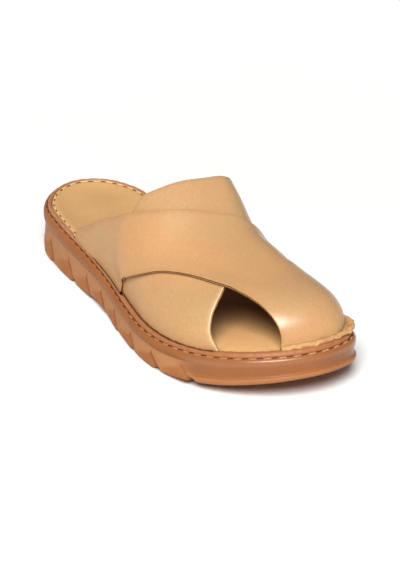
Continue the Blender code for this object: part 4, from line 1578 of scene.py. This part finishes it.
def build_toe_flange():
    """A raw leather edge turned out over the welt, from the cut-out round the toe to the inner side."""
    ring = even_ring(FLANGE_STEP)
    half = len(ring) // 2
    first = int(np.argmin(np.abs(ring[:half, 0] - FLANGE_START)))
    last = half + int(np.argmin(np.abs(ring[half:, 0] - FLANGE_END)))
    places = np.arange(first, last + 1)
    groove = GROOVE(ring[places, 0])
    run = lengths(ring[places])
    wave = waves(run, FLANGE_WAVES, FLANGE_SEED)
    ribs = FLANGE_RIB * np.sin(2 * np.pi * run / FLANGE_RIB_PITCH) * (1 - ramp(run, *FLANGE_RIB_RUN))
    fade = np.minimum(ramp(run, -FLANGE_GROW, FLANGE_GROW), 1 - ramp(run, run[-1] - FLANGE_SHRINK, run[-1]))
    wide = FLANGE_LEAST_WIDTH + (1 - FLANGE_LEAST_WIDTH) * fade
    tall = FLANGE_LEAST_HEIGHT + (1 - FLANGE_LEAST_HEIGHT) * fade
    outer, rise, crease = (read(FLANGE_OUT, run, index) for index in (1, 2, 3))
    skin = Skin("edge")
    lines = []
    inmost = FLANGE_SECTION[0][0]
    for share, height, _ in FLANGE_SECTION:
        if share > 0:
            out = crease + (1 - crease) * share
        else:
            out = crease + (crease - inmost) * share / -inmost
        loose = np.clip(out, 0.0, None)
        inset = FLANGE_INNER_INSET + (outer + wave - FLANGE_INNER_INSET) * out * wide
        amounts = np.zeros(len(ring))
        amounts[places] = -inset
        line = outset(ring, amounts)[places]
        up = height * tall * (1 + FLANGE_WAVE_HEIGHT * wave * loose) + rise * loose
        if share > FLANGE_CREASE and height > FLANGE_RIB_FROM:
            up = up + ribs
        # The crease between the toe leather and the flange is darkened as painted shade; the rest takes a
        # little wear
        wear_and_crease_shade = 1.0 if abs(share) < FLANGE_CREASE else FLANGE_WEAR
        lines.append(skin.add(with_height(line, groove + FLANGE_BASE + up), edge=wear_and_crease_shade))
    slots = column(FLANGE_SECTION, 2)
    for near, far, slot in zip(lines, lines[1:], slots[1:]):
        skin.band(far, near, slot, closed=False)
    for end in (0, -1):
        corners = [line[end] for line in lines]
        skin.face(tuple(corners if end == 0 else corners[::-1]), 1)
    return skin.piece("toe_flange", [STRAP_LEATHER, PALE_EDGE])


build_outsole()
build_welt()
build_groove_stitches()
build_insole()
build_straps()
build_toe_flange()


# Floor, light and camera


FLOOR_REACH = 6.0
FLOOR_HEIGHT = -0.0004
FLOOR_LIGHT = colour(252, 252, 252)
FLOOR_DEEP = colour(250, 250, 250)
FLOOR_ROUGH = 0.9
FLOOR_SPECULAR = 0.1
# The paper glows a little behind the shoe, where the softbox reaches less, so that it stays white
FAR_TURN = 210.0
FAR_RUN = (0.15, 1.0)
FAR_GLOW = 0.28
WHITE = colour(255, 255, 255)


def build_stage():
    floor_mesh = bpy.data.meshes.new("floor")
    signs = ((-1, -1), (1, -1), (1, 1), (-1, 1))
    corners = [(x * FLOOR_REACH, y * FLOOR_REACH, FLOOR_HEIGHT) for x, y in signs]
    floor_mesh.from_pydata(corners, [], [(0, 1, 2, 3)])
    floor = bpy.data.objects.new("floor", floor_mesh)
    bpy.context.scene.collection.objects.link(floor)
    paper = Finish("floor_paper")
    tone = paper.mix(paper.spread(paper.noise(3.0, 2.0)), FLOOR_LIGHT, FLOOR_DEEP)
    far = paper.slope(paper.stretched((1.0, 1.0, 1.0), (0.0, 0.0, FAR_TURN)))
    paper.shade(Base_Color=tone, Roughness=FLOOR_ROUGH, Specular_IOR_Level=FLOOR_SPECULAR)
    paper.shade(Emission_Color=WHITE, Emission_Strength=paper.remap(far, *FAR_RUN, 0.0, FAR_GLOW))
    floor_mesh.materials.append(paper.material)


SOFTBOX_PLACE = (2.655, -1.93, 3.805)
SOFTBOX_AIM = (0.0, 0.0, 0.03)
SOFTBOX_SIZE = 3.0
SOFTBOX_POWER = 350.0
SOFTBOX_TINT = (1.0, 0.99, 0.975)
WORLD_TINT = (0.96, 0.98, 1.0, 1.0)
WORLD_STRENGTH = 0.14


def build_lights():
    world = bpy.data.worlds.new("studio")
    world.use_nodes = True
    background = world.node_tree.nodes["Background"]
    background.inputs["Color"].default_value = WORLD_TINT
    background.inputs["Strength"].default_value = WORLD_STRENGTH
    bpy.context.scene.world = world
    data = bpy.data.lights.new("softbox", "AREA")
    data.shape = "DISK"
    data.size = SOFTBOX_SIZE
    data.energy = SOFTBOX_POWER
    data.color = SOFTBOX_TINT
    made = bpy.data.objects.new("softbox", data)
    made.location = SOFTBOX_PLACE
    made.rotation_euler = (Vector(SOFTBOX_AIM) - Vector(SOFTBOX_PLACE)).to_track_quat("-Z", "Y").to_euler()
    bpy.context.scene.collection.objects.link(made)


CAMERA_PLACE = (0.75819, -0.42178, 0.40735)
CAMERA_RIGHT = (0.49865, 0.86680, 0.00296)
CAMERA_UP = (-0.36084, 0.20448, 0.90993)
CAMERA_BACK = (0.78813, -0.45480, 0.41474)
CAMERA_LENS = 109.88
CAMERA_SENSOR = 36.0
CAMERA_CLIP = (0.02, 30.0)


def build_camera():
    data = bpy.data.cameras.new("camera")
    data.lens = CAMERA_LENS
    data.sensor_width = CAMERA_SENSOR
    data.clip_start, data.clip_end = CAMERA_CLIP
    made = bpy.data.objects.new("camera", data)
    axes = Matrix((CAMERA_RIGHT, CAMERA_UP, CAMERA_BACK)).transposed()
    made.matrix_world = Matrix.Translation(CAMERA_PLACE) @ axes.to_4x4()
    bpy.context.scene.collection.objects.link(made)
    bpy.context.scene.camera = made
    bpy.context.scene.view_settings.view_transform = "Standard"


build_stage()
build_lights()
build_camera()
